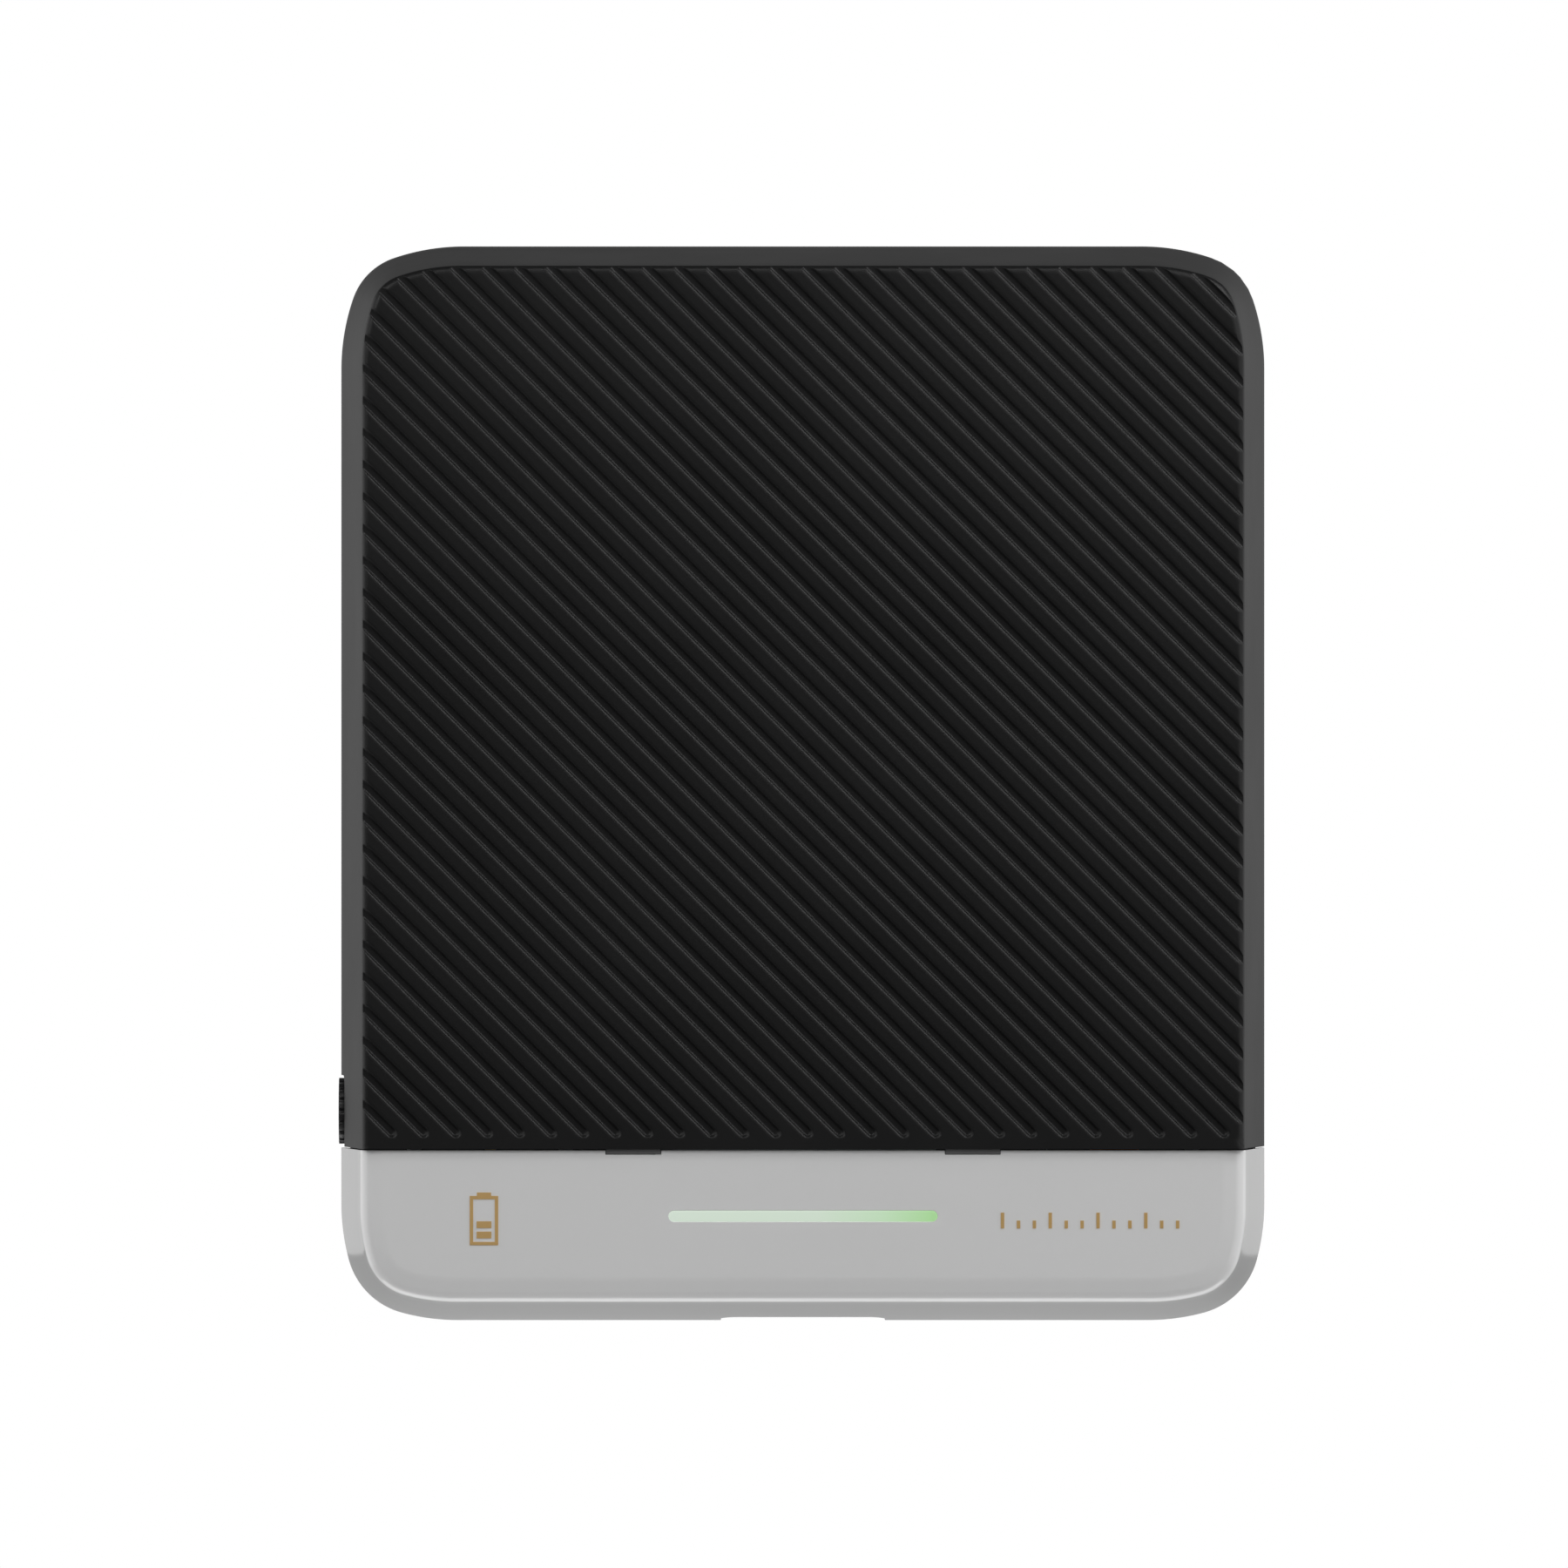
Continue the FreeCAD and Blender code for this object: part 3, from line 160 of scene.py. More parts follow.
def roll_section(radius, joint_inset, joint_y, face_tilt, steps):
    """Points of the arc between the leaning side and a front that tilts by face_tilt, from the side on."""
    turn = math.pi / 2 - lean - face_tilt
    tangent = radius * math.tan(turn / 2)
    start = (joint_inset - tangent * math.sin(lean), joint_y + tangent * math.cos(lean))
    centre = (start[0] + radius * math.cos(lean), start[1] + radius * math.sin(lean))
    points = []
    for k in range(steps + 1):
        angle = lean + turn * k / steps
        points.append((centre[0] - radius * math.cos(angle), centre[1] - radius * math.sin(angle)))
    return points


def rear_lip(radius, steps):
    """Rounded rear edge of a skirt, from its inner corner round to its outer side."""
    points = []
    for k in range(steps + 1):
        angle = math.pi / 2 * k / steps
        points.append((radius * (1 - math.sin(angle)), skirt_rear - radius * (1 - math.cos(angle))))
    return points


print("sides lean", round(math.degrees(lean), 2), "degrees")

# %% Mesh helpers
def new_mesh_object(name, vertices, faces):
    """A mesh object at the origin whose faces point outwards."""
    mesh = bpy.data.meshes.new(name)
    mesh.from_pydata([tuple(v) for v in vertices], [], faces)
    work = bmesh.new()
    work.from_mesh(mesh)
    bmesh.ops.remove_doubles(work, verts=work.verts, dist=2e-6)
    bmesh.ops.dissolve_degenerate(work, edges=work.edges, dist=1e-7)
    bmesh.ops.recalc_face_normals(work, faces=work.faces)
    work.to_mesh(mesh)
    work.free()
    obj = bpy.data.objects.new(name, mesh)
    bpy.context.scene.collection.objects.link(obj)
    return obj


def bake_modifiers(obj):
    """Turns the evaluated object into its own plain mesh and removes the modifiers."""
    graph = bpy.context.evaluated_depsgraph_get()
    graph.update()
    mesh = bpy.data.meshes.new_from_object(obj.evaluated_get(graph))
    obj.modifiers.clear()
    obj.data = mesh
    return obj


def smooth(obj, angle):
    """Smooth shading with the edges sharper than angle (degrees) kept sharp."""
    work = bmesh.new()
    work.from_mesh(obj.data)
    limit = math.radians(angle)
    for face in work.faces:
        face.smooth = True
    for edge in work.edges:
        edge.smooth = len(edge.link_faces) == 2 and edge.calc_face_angle(0.0) < limit
    work.to_mesh(obj.data)
    work.free()


def cut(obj, cutter):
    """Takes a cutter away from an object and drops the cutter."""
    modifier = obj.modifiers.new("cut", "BOOLEAN")
    modifier.object = cutter
    modifier.operation = "DIFFERENCE"
    modifier.solver = "EXACT"
    bake_modifiers(obj)
    bpy.data.objects.remove(cutter)


def bevel(obj, width, segments, angle):
    """Rounds the edges sharper than angle and keeps flat faces flat."""
    modifier = obj.modifiers.new("bevel", "BEVEL")
    modifier.width = width
    modifier.segments = segments
    modifier.limit_method = "ANGLE"
    modifier.angle_limit = math.radians(angle)
    modifier.use_clamp_overlap = True
    bake_modifiers(obj)


def prism(name, outline_xz, y0, y1):
    """Closed bar with an XZ outline between two depths."""
    count = len(outline_xz)
    vertices = [(x, y, z) for y in (y0, y1) for x, z in outline_xz]
    sides = [(k, (k + 1) % count, count + (k + 1) % count, count + k) for k in range(count)]
    return new_mesh_object(name, vertices, sides + [tuple(range(count)), tuple(range(count, 2 * count))])


def capsule(length, tall, centre_x, centre_z, steps=12):
    """Outline of a bar with round ends."""
    points = []
    for side in (1, -1):
        for k in range(steps + 1):
            angle = math.radians(-90 + 180 * k / steps)
            x = side * ((length - tall) / 2 + tall / 2 * math.cos(angle))
            points.append((centre_x + x, centre_z + side * tall / 2 * math.sin(angle)))
    return points


def report(obj):
    """Says how large a finished piece's mesh is."""
    triangles = sum(len(p.vertices) - 2 for p in obj.data.polygons)
    print(obj.name, "triangles", triangles)


# %% [markdown]
# ## Shared effects for the finishes
# Real mouldings and coated sheet are never one flat value. Four small node groups carry what their
# surfaces share: a fine moulded grain, broad cloudiness where hands and dust have been, worn edges,
# and drawn lines on plated sheet. Each finish sets its own sizes, and the shader stays in the material.

# %% Node group helpers
def new_group(name, inputs, outputs):
    """An empty shader node group with named sockets."""
    group = bpy.data.node_groups.new(name, "ShaderNodeTree")
    for label, value in inputs:
        socket = group.interface.new_socket(label, in_out="INPUT", socket_type="NodeSocketFloat")
        socket.default_value = value
    for label in outputs:
        group.interface.new_socket(label, in_out="OUTPUT", socket_type="NodeSocketFloat")
    return group, group.nodes.new("NodeGroupInput"), group.nodes.new("NodeGroupOutput")


def math_node(tree, operation, *values, clamp=False):
    """A Math node whose inputs are numbers or sockets; returns its output."""
    node = tree.nodes.new("ShaderNodeMath")
    node.operation = operation
    node.use_clamp = clamp
    for k, value in enumerate(values):
        if isinstance(value, (int, float)):
            node.inputs[k].default_value = value
        else:
            tree.links.new(value, node.inputs[k])
    return node.outputs[0]


def noise(tree, vector, scale, detail=3.0, roughness=0.5):
    """A noise texture; scale is a number or a socket."""
    node = tree.nodes.new("ShaderNodeTexNoise")
    node.inputs["Detail"].default_value = detail
    node.inputs["Roughness"].default_value = roughness
    tree.links.new(vector, node.inputs["Vector"])
    if isinstance(scale, (int, float)):
        node.inputs["Scale"].default_value = scale
    else:
        tree.links.new(scale, node.inputs["Scale"])
    return node.outputs["Fac"]


# %% The four effects
def grain_group():
    """Moulded or sprayed grain: a height and a light-dark mask."""
    group, given, result = new_group("Fine grain", [("Scale", 900.0), ("Coarse", 0.3)], ["Height", "Mask"])
    place = group.nodes.new("ShaderNodeTexCoord").outputs["Object"]
    fine = noise(group, place, given.outputs["Scale"], 2.0)
    coarse = noise(group, place, math_node(group, "MULTIPLY", given.outputs["Scale"], 0.22), 2.0)
    height = math_node(group, "ADD", fine, math_node(group, "MULTIPLY", coarse, given.outputs["Coarse"]))
    group.links.new(height, result.inputs["Height"])
    group.links.new(fine, result.inputs["Mask"])
    return group


def cloud_group():
    """Broad cloudiness from handling and dust, 0 to 1."""
    group, given, result = new_group("Handling clouds", [("Scale", 9.0), ("Contrast", 2.0)], ["Mask"])
    place = group.nodes.new("ShaderNodeTexCoord").outputs["Object"]
    base = noise(group, place, given.outputs["Scale"], 5.0, 0.6)
    centred = math_node(group, "MULTIPLY", math_node(group, "SUBTRACT", base, 0.5), given.outputs["Contrast"])
    group.links.new(math_node(group, "ADD", centred, 0.5, clamp=True), result.inputs["Mask"])
    return group


def wear_group():
    """Worn, lighter edges: 1 on sharp outer edges, broken up by noise."""
    group, given, result = new_group("Edge wear", [("Start", 0.53), ("Spread", 12.0)], ["Mask"])
    point = group.nodes.new("ShaderNodeNewGeometry").outputs["Pointiness"]
    place = group.nodes.new("ShaderNodeTexCoord").outputs["Object"]
    edge = math_node(group, "MULTIPLY", math_node(group, "SUBTRACT", point, given.outputs["Start"]),
                     given.outputs["Spread"], clamp=True)
    broken = math_node(group, "MULTIPLY", edge, noise(group, place, 70.0, 4.0), clamp=True)
    group.links.new(broken, result.inputs["Mask"])
    return group


def drawn_group():
    """Lines drawn along X by rolling and brushing, as a mask."""
    group, given, result = new_group("Drawn lines", [("Scale", 260.0)], ["Mask"])
    place = group.nodes.new("ShaderNodeTexCoord").outputs["Object"]
    stretch = group.nodes.new("ShaderNodeMapping")
    stretch.inputs["Scale"].default_value = (0.03, 1.0, 1.0)
    group.links.new(place, stretch.inputs["Vector"])
    group.links.new(noise(group, stretch.outputs["Vector"], given.outputs["Scale"], 4.0), result.inputs["Mask"])
    return group


grain, cloud, wear, drawn = grain_group(), cloud_group(), wear_group(), drawn_group()
print("effects:", grain.name, cloud.name, wear.name, drawn.name)

# %% [markdown]
# ## Finishes
# One function lays out a finish: a base colour that drifts with the clouds and lightens on worn edges,
# a roughness around a middle value, and a bump from the grain. Coated sheet, rubber, plated steel and
# the mouldings are the same recipe with different sizes, which is how a maker's colour chart works too.

# %% One recipe for the finishes
def add_group(tree, group, **values):
    """Places a node group with its own values."""
    node = tree.nodes.new("ShaderNodeGroup")
    node.node_tree = group
    for label, value in values.items():
        node.inputs[label].default_value = value
    return node


def mix_colour(tree, factor, first, second):
    """Mixes two colours, given as values or sockets."""
    node = tree.nodes.new("ShaderNodeMix")
    node.data_type = "RGBA"
    for socket, value in ((node.inputs[0], factor), (node.inputs[6], first), (node.inputs[7], second)):
        if isinstance(value, (int, float)):
            socket.default_value = value
        elif isinstance(value, tuple):
            socket.default_value = (*value, 1.0)
        else:
            tree.links.new(value, socket)
    return node.outputs[2]


def finish(name, base, roughness, metallic=0.0, drift=0.15, grain_scale=900.0, bump=0.02, wear_colour=None,
           wear_start=0.53, lines=0.0, coat=0.0, rough_range=0.1, specular=0.5):
    """A surface finish as a material; sizes of the grain are per metre."""
    material = bpy.data.materials.new(name)
    material.use_nodes = True
    tree = material.node_tree
    shader = tree.nodes["Principled BSDF"]
    shader.inputs["Metallic"].default_value = metallic
    shader.inputs["Specular IOR Level"].default_value = specular
    shader.inputs["Coat Weight"].default_value = coat
    shader.inputs["Coat Roughness"].default_value = 0.06
    clouds = add_group(tree, cloud, Scale=9.0, Contrast=1.8).outputs["Mask"]
    grains = add_group(tree, grain, Scale=grain_scale, Coarse=0.4)
    dark = tuple(c * (1 - drift) for c in base)
    light = tuple(min(1.0, c * (1 + drift)) for c in base)
    colour = mix_colour(tree, clouds, dark, light)
    rough = math_node(tree, "MULTIPLY_ADD", clouds, rough_range, roughness - rough_range / 2)
    if lines:
        mask = add_group(tree, drawn, Scale=260.0).outputs["Mask"]
        rough = math_node(tree, "MULTIPLY_ADD", mask, lines, rough)
        colour = mix_colour(tree, math_node(tree, "MULTIPLY", mask, 0.35), colour, dark)
    if wear_colour:
        worn = add_group(tree, wear, Start=wear_start, Spread=10.0).outputs["Mask"]
        colour = mix_colour(tree, worn, colour, wear_colour)
    tree.links.new(colour, shader.inputs["Base Color"])
    tree.links.new(math_node(tree, "ADD", rough, 0.0, clamp=True), shader.inputs["Roughness"])
    relief = tree.nodes.new("ShaderNodeBump")
    relief.inputs["Strength"].default_value = 1.0
    relief.inputs["Distance"].default_value = bump * mm
    tree.links.new(grains.outputs["Height"], relief.inputs["Height"])
    tree.links.new(relief.outputs["Normal"], shader.inputs["Normal"])
    return material


# %% The finishes of every material slot
finishes = {
    "black_cover": finish("Matte black moulding", (0.0088, 0.0088, 0.0089), 0.40, drift=0.15,
                          grain_scale=1500.0,
                          bump=0.02, rough_range=0.06, specular=0.32),
    "white_cover": finish("Glossy grey-white moulding", (0.87, 0.87, 0.87), 0.06, drift=0.012,
                          grain_scale=120.0,
                          bump=0.003, rough_range=0.03),
    "tray_steel": finish("Dark powder coat", (0.03, 0.03, 0.032), 0.5, grain_scale=1100.0, bump=0.05,
                         wear_colour=(0.14, 0.14, 0.14), wear_start=0.57),
    "bracket_steel": finish("Black powder coat, worn", (0.022, 0.022, 0.023), 0.45, grain_scale=1100.0,
                            bump=0.05,
                            wear_colour=(0.35, 0.35, 0.34), wear_start=0.55),
    "plated_steel": finish("Zinc plate", (0.55, 0.56, 0.58), 0.32, metallic=1.0, lines=0.15, grain_scale=300.0,
                           bump=0.01),
    "fastener": finish("Zinc fastener", (0.52, 0.53, 0.55), 0.28, metallic=1.0, grain_scale=1500.0, bump=0.01,
                       wear_colour=(0.8, 0.8, 0.8), wear_start=0.6),
    "spring_steel": finish("Bright steel", (0.5, 0.5, 0.5), 0.25, metallic=1.0, lines=0.1, bump=0.01),
    "rubber": finish("Matte rubber", (0.018, 0.018, 0.018), 0.8, grain_scale=2200.0, bump=0.05),
    "seal_foam": finish("Closed-cell foam", (0.03, 0.03, 0.03), 0.9, grain_scale=2600.0, bump=0.15),
    "grey_plastic": finish("Grey moulding", (0.2, 0.2, 0.2), 0.45, grain_scale=1600.0, bump=0.03),
    "black_plastic": finish("Satin black moulding", (0.015, 0.015, 0.016), 0.42, grain_scale=1600.0, bump=0.03,
                            wear_colour=(0.05, 0.05, 0.05), wear_start=0.57),
    "orange_plastic": finish("Orange moulding", (0.75, 0.16, 0.015), 0.38, grain_scale=1600.0, bump=0.02),
    "copper": finish("Copper", (0.70, 0.33, 0.18), 0.3, metallic=1.0, lines=0.12, bump=0.01),
    "brass": finish("Turned brass", (0.66, 0.48, 0.2), 0.28, metallic=1.0, lines=0.1, bump=0.01),
    "aluminium": finish("Mill aluminium", (0.68, 0.69, 0.7), 0.38, metallic=1.0, lines=0.18, bump=0.01),
    "cell_wrap": finish("Blue cell film", (0.03, 0.12, 0.4), 0.25, grain_scale=200.0, bump=0.02, coat=0.3),
    "white_sheet": finish("Insulating sheet", (0.7, 0.7, 0.67), 0.6, grain_scale=1200.0, bump=0.03),
    "thermal_pad": finish("Silicone pad", (0.32, 0.38, 0.44), 0.7, grain_scale=1500.0, bump=0.05),
    "clear_sheet": finish("Hazy sheet", (0.6, 0.64, 0.66), 0.3, grain_scale=300.0, bump=0.01, coat=0.2),
    "fuse_body": finish("Ceramic", (0.66, 0.63, 0.54), 0.35, grain_scale=900.0, bump=0.02),
    "circuit_board": finish("Solder mask", (0.01, 0.1, 0.035), 0.3, drift=0.3, grain_scale=700.0, bump=0.02,
                            coat=0.3),
    "board_parts": finish("Component bodies", (0.03, 0.03, 0.034), 0.5, grain_scale=1800.0, bump=0.03),
    "port_shell": finish("Tinned shell", (0.6, 0.6, 0.6), 0.24, metallic=1.0, lines=0.1, bump=0.01),
    "gold_print": finish("Satin gold", (0.74, 0.48, 0.19), 0.34, metallic=0.2, drift=0.05, grain_scale=1400.0,
                         bump=0.01),
}


def light_finish(name, strength, base):
    """A finish that glows: pale green-white on the left, turning green towards the right end."""
    material = finish(name, base, 0.3, drift=0.03, grain_scale=500.0, bump=0.01)
    tree = material.node_tree
    shader = tree.nodes["Principled BSDF"]
    place = tree.nodes.new("ShaderNodeTexCoord")
    split = tree.nodes.new("ShaderNodeSeparateXYZ")
    tree.links.new(place.outputs["Object"], split.inputs[0])
    low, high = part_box("light_lens")
    span = tree.nodes.new("ShaderNodeMapRange")
    span.inputs["From Min"].default_value = low.x
    span.inputs["From Max"].default_value = high.x
    tree.links.new(split.outputs["X"], span.inputs["Value"])
    ramp = tree.nodes.new("ShaderNodeValToRGB")
    stops = ramp.color_ramp.elements
    stops[0].position, stops[0].color = 0.0, (0.62, 0.72, 0.62, 1.0)
    stops[1].position, stops[1].color = 1.0, (0.30, 0.62, 0.22, 1.0)
    for position, colour in ((0.55, (0.60, 0.71, 0.59)), (0.78, (0.50, 0.70, 0.47)),
                             (0.93, (0.38, 0.66, 0.31))):
        stop = stops.new(position)
        stop.color = (*colour, 1.0)
    tree.links.new(span.outputs["Result"], ramp.inputs["Fac"])
    tree.links.new(ramp.outputs["Color"], shader.inputs["Emission Color"])
    shader.inputs["Emission Strength"].default_value = strength
    return material


finishes["light_lens"] = light_finish("Milky light bar", 0.89, (0.12, 0.13, 0.12))
finishes["led"] = light_finish("LEDs", 1.5, (0.3, 0.3, 0.28))
print(len(finishes), "finishes")

# %% [markdown]
# ## The grooved black cover
# The cover's front is a rule: parallel grooves at 45 degrees, a fixed pitch apart, that run out over
# the rolled edge at the top and the sides and stop in round tips above the lower edge. A plain grid
# would show stair steps along the slant. So the front is a lattice whose rows follow the grooves, with
# rows close together where a groove's wall bends and far apart on the flat, and Geometry Nodes then
# press the grooves in by the rule. The rolled edge and the sides share the lattice's edge points.

# %% Lattice sizes
pitch = 11.92 * mm
groove_width = 4.1 * mm
groove_depth = 1.6 * mm
groove_shift = 2.73 * mm
tip_height = 6.7 * mm + groove_width / 2
roll_radius = 4.0 * mm
front_wall = 4.0 * mm
row_places = np.array([-2.95, -2.6, -2.3, -2.05, -1.8, -1.5, -1.1, -0.5, 0.0, 0.5, 1.1, 1.5, 1.8, 2.05, 2.3,
                       2.6, 2.95, 4.4, 5.96, 7.5]) * mm
edge_steps = np.array([0, 0.2, 0.45, 0.75, 1.1, 1.5, 2.0, 2.6, 3.3, 4.2, 5.4, 7, 9, 11, 13, 16]) * mm
tip_steps = np.array([0, 0.8, 3.0, 5.2, 5.9, 6.4, 6.9, 7.3, 7.7, 8.1, 8.6, 9.2, 10, 11, 13, 16]) * mm
inner_columns = 10
roll = roll_section(roll_radius, side_run, front, 0.0, 24)
lattice_inset = roll[2][0]
flat_inset = roll[-1][0]
diagonal = math.sqrt(2)


def front_y(inset):
    """Depth of the black front before the grooves: flat, then rolled over."""
    inside = np.minimum(inset, flat_inset)
    return front + roll_radius - np.sqrt(roll_radius ** 2 - (flat_inset - inside) ** 2)


def row_point(v, u):
    """Point of the front at v across the grooves and u along them."""
    return (v + u) / diagonal, (v - u) / diagonal + middle_z


def row_reach(v, peak, inset, way):
    """How far along a row the outline, moved in by inset, is reached from the row's deepest point."""
    near, far = peak.copy(), peak + way * 2 * half
    for _ in range(40):
        mid = (near + far) / 2
        inside = inset_and_normal(*row_point(v, mid))[0] >= inset
        near, far = np.where(inside, mid, near), np.where(inside, far, mid)
    return near


def row_peak(v):
    """Place along each row that is deepest inside the outline."""
    low, high = np.full_like(v, -2 * half), np.full_like(v, 2 * half)
    for _ in range(60):
        third = (high - low) / 3
        a, b = low + third, high - third
        ga = inset_and_normal(*row_point(v, a))[0]
        gb = inset_and_normal(*row_point(v, b))[0]
        low, high = np.where(ga < gb, a, low), np.where(ga < gb, high, b)
    return (low + high) / 2


# %% Rows and columns of the lattice
def lattice():
    """Rows of points along the grooves, from their upper left to their lower right ends."""
    count = int(2 * half / pitch) + 4
    rows = (np.arange(-count, count)[:, None] * pitch + row_places[None, :] + groove_shift).ravel()
    lowest = ((-half + lattice_inset) + (split_high - middle_z)) / diagonal
    probe = np.linspace(0, 2 * half, 4001)
    reached = inset_and_normal(*row_point(probe, row_peak(probe)))[0] > lattice_inset
    highest = probe[reached][-1]
    rows = np.concatenate([[lowest], rows[(rows > lowest + 1e-5) & (rows < highest - 1e-5)], [highest]])
    peak = row_peak(rows)
    start = np.stack([row_reach(rows, peak, lattice_inset + d, -1) for d in edge_steps], 1)
    end = np.stack([np.minimum(row_reach(rows, peak, lattice_inset + d, 1),
                               rows - diagonal * (split_high + h - middle_z))
                    for d, h in zip(edge_steps, tip_steps)], 1)
    centre = (start[:, :1] + end[:, :1]) / 2
    start, end = np.minimum(start, centre), np.maximum(end, centre)
    share = np.linspace(0, 1, inner_columns + 2)[1:-1]
    inner = start[:, -1:] + (end[:, -1:] - start[:, -1:]) * share
    along = np.concatenate([start, inner, end[:, ::-1]], 1)
    x, z = row_point(rows[:, None], along)
    return x, z


lattice_x, lattice_z = lattice()
print("lattice", lattice_x.shape)


# %% The cover's shell around the lattice
def cover_shell():
    """Closed shell: grooved front, rolled edge, leaning sides, rear lip, inside and lower edge."""
    rows, columns = lattice_x.shape
    inset = inset_and_normal(lattice_x, lattice_z)[0]
    vertices = np.stack([lattice_x, front_y(inset), lattice_z], -1).reshape(-1, 3).tolist()
    faces = [(r * columns + c, r * columns + c + 1, (r + 1) * columns + c + 1, (r + 1) * columns + c)
             for r in range(rows - 1) for c in range(columns - 1)]
    left = [r * columns for r in range(rows)]
    right = [r * columns + columns - 1 for r in range(rows - 1, -1, -1)]
    on_edge = [k for k in right if vertices[k][2] > split_high + 1e-6]
    corner = right[len(on_edge)]
    path = left + on_edge + [corner]
    low_edge = right[len(on_edge):]
    places = np.array([vertices[k] for k in path])
    _, nx, nz = inset_and_normal(places[:, 0], places[:, 2])
    nx[0], nz[0], nx[-1], nz[-1] = -1.0, 0.0, 1.0, 0.0
    section = roll[1::-1] + [(i * mm, side_y(i * mm)) for i in (10.5, 8.0, 5.5, 3.0, 1.2)]
    section += rear_lip(0.5 * mm, 3)[::-1] + [(skirt_wall, skirt_rear), (5 * mm, side_y(2.5 * mm)),
                                              (side_run + skirt_wall, front + front_wall)]
    rings = [path]
    for ring_inset, y in section:
        base = len(vertices)
        shift = lattice_inset - ring_inset
        for (px, _, pz), ax, az in zip(places, nx, nz):
            vertices.append((px + ax * shift, y, pz + az * shift))
        rings.append(list(range(base, len(vertices))))
    for a, b in zip(rings, rings[1:]):
        faces += [(a[k], a[k + 1], b[k + 1], b[k]) for k in range(len(path) - 1)]
    faces.append(tuple(rings[-1]))
    lower = [ring[0] for ring in rings] + [ring[-1] for ring in rings[::-1]] + low_edge[1:-1]
    faces.append(tuple(lower))
    return new_mesh_object("front_cover_shell", vertices, faces)


black_cover = cover_shell()
report(black_cover)

# %% [markdown]
# The rule itself is a small node tree. For each point it finds the signed distance to the nearest
# groove's middle line, adds the distance past the groove's lower end so that the tip comes out round,
# and turns that into a depth with a soft step. A groove only presses in: where the rolled edge already
# lies deeper, the edge wins, and so the grooves run out over it.

# %% Geometry Nodes that press the grooves
def groove_tree():
    """Tree that presses slanting grooves with round lower tips into a front."""
    tree = bpy.data.node_groups.new("Press slanting grooves", "GeometryNodeTree")
    tree.interface.new_socket("Geometry", in_out="INPUT", socket_type="NodeSocketGeometry")
    names = {"Pitch": pitch, "Width": groove_width, "Depth": groove_depth, "Shift": groove_shift,
             "Middle height": middle_z, "Tip height": split_high + tip_height, "Front": front,
             "Softness": 0.9 * mm}
    for label, value in names.items():
        tree.interface.new_socket(label, in_out="INPUT", socket_type="NodeSocketFloat").default_value = value
    tree.interface.new_socket("Finish", in_out="INPUT", socket_type="NodeSocketMaterial")
    tree.interface.new_socket("Geometry", in_out="OUTPUT", socket_type="NodeSocketGeometry")
    given = tree.nodes.new("NodeGroupInput").outputs
    out = tree.nodes.new("NodeGroupOutput")
    place = tree.nodes.new("GeometryNodeInputPosition").outputs[0]
    parts = tree.nodes.new("ShaderNodeSeparateXYZ")
    tree.links.new(place, parts.inputs[0])
    x, y, z = parts.outputs

    def m(operation, *values):
        return math_node(tree, operation, *values)

    height = m("SUBTRACT", z, given["Middle height"])
    across = m("DIVIDE", m("ADD", x, height), diagonal)
    along = m("DIVIDE", m("SUBTRACT", x, height), diagonal)
    moved = m("SUBTRACT", across, given["Shift"])
    nearest = m("MULTIPLY", m("ROUND", m("DIVIDE", moved, given["Pitch"])), given["Pitch"])
    offset = m("SUBTRACT", moved, nearest)
    line = m("ADD", nearest, given["Shift"])
    tip = m("SUBTRACT", given["Tip height"], given["Middle height"])
    tip_along = m("SUBTRACT", line, m("MULTIPLY", tip, diagonal))
    past = m("MAXIMUM", m("SUBTRACT", along, tip_along), 0.0)
    away = m("SQRT", m("ADD", m("MULTIPLY", offset, offset), m("MULTIPLY", past, past)))
    span = tree.nodes.new("ShaderNodeMapRange")
    span.interpolation_type = "SMOOTHSTEP"
    half_width = m("MULTIPLY", given["Width"], 0.5)
    tree.links.new(away, span.inputs["Value"])
    tree.links.new(m("SUBTRACT", half_width, given["Softness"]), span.inputs["From Min"])
    tree.links.new(m("ADD", half_width, given["Softness"]), span.inputs["From Max"])
    span.inputs["To Min"].default_value = 1.0
    span.inputs["To Max"].default_value = 0.0
    pressed = m("MULTIPLY_ADD", span.outputs["Result"], given["Depth"], given["Front"])
    deeper = m("MAXIMUM", y, pressed)
    joined = tree.nodes.new("ShaderNodeCombineXYZ")
    for k, value in enumerate((x, deeper, z)):
        tree.links.new(value, joined.inputs[k])
    move = tree.nodes.new("GeometryNodeSetPosition")
    tree.links.new(given["Geometry"], move.inputs["Geometry"])
    tree.links.new(joined.outputs[0], move.inputs["Position"])
    realize = tree.nodes.new("GeometryNodeRealizeInstances")
    paint = tree.nodes.new("GeometryNodeSetMaterial")
    tree.links.new(move.outputs[0], realize.inputs[0])
    tree.links.new(realize.outputs[0], paint.inputs["Geometry"])
    tree.links.new(given["Finish"], paint.inputs["Material"])
    tree.links.new(paint.outputs[0], out.inputs[0])
    return tree


def set_input(modifier, label, value):
    """Sets a node modifier's input by its socket's identifier."""
    for item in modifier.node_group.interface.items_tree:
        if item.item_type == "SOCKET" and item.in_out == "INPUT" and item.name == label:
            modifier[item.identifier] = value


press = black_cover.modifiers.new("grooves", "NODES")
press.node_group = groove_tree()
set_input(press, "Finish", finishes["black_cover"])
bake_modifiers(black_cover)
report(black_cover)

# %% The opening round the isolator knob, and the flange
knob_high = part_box("isolator_knob")[1]
cut_clearance = 1.6 * mm
cut_front = skirt_rear - 14.5 * mm


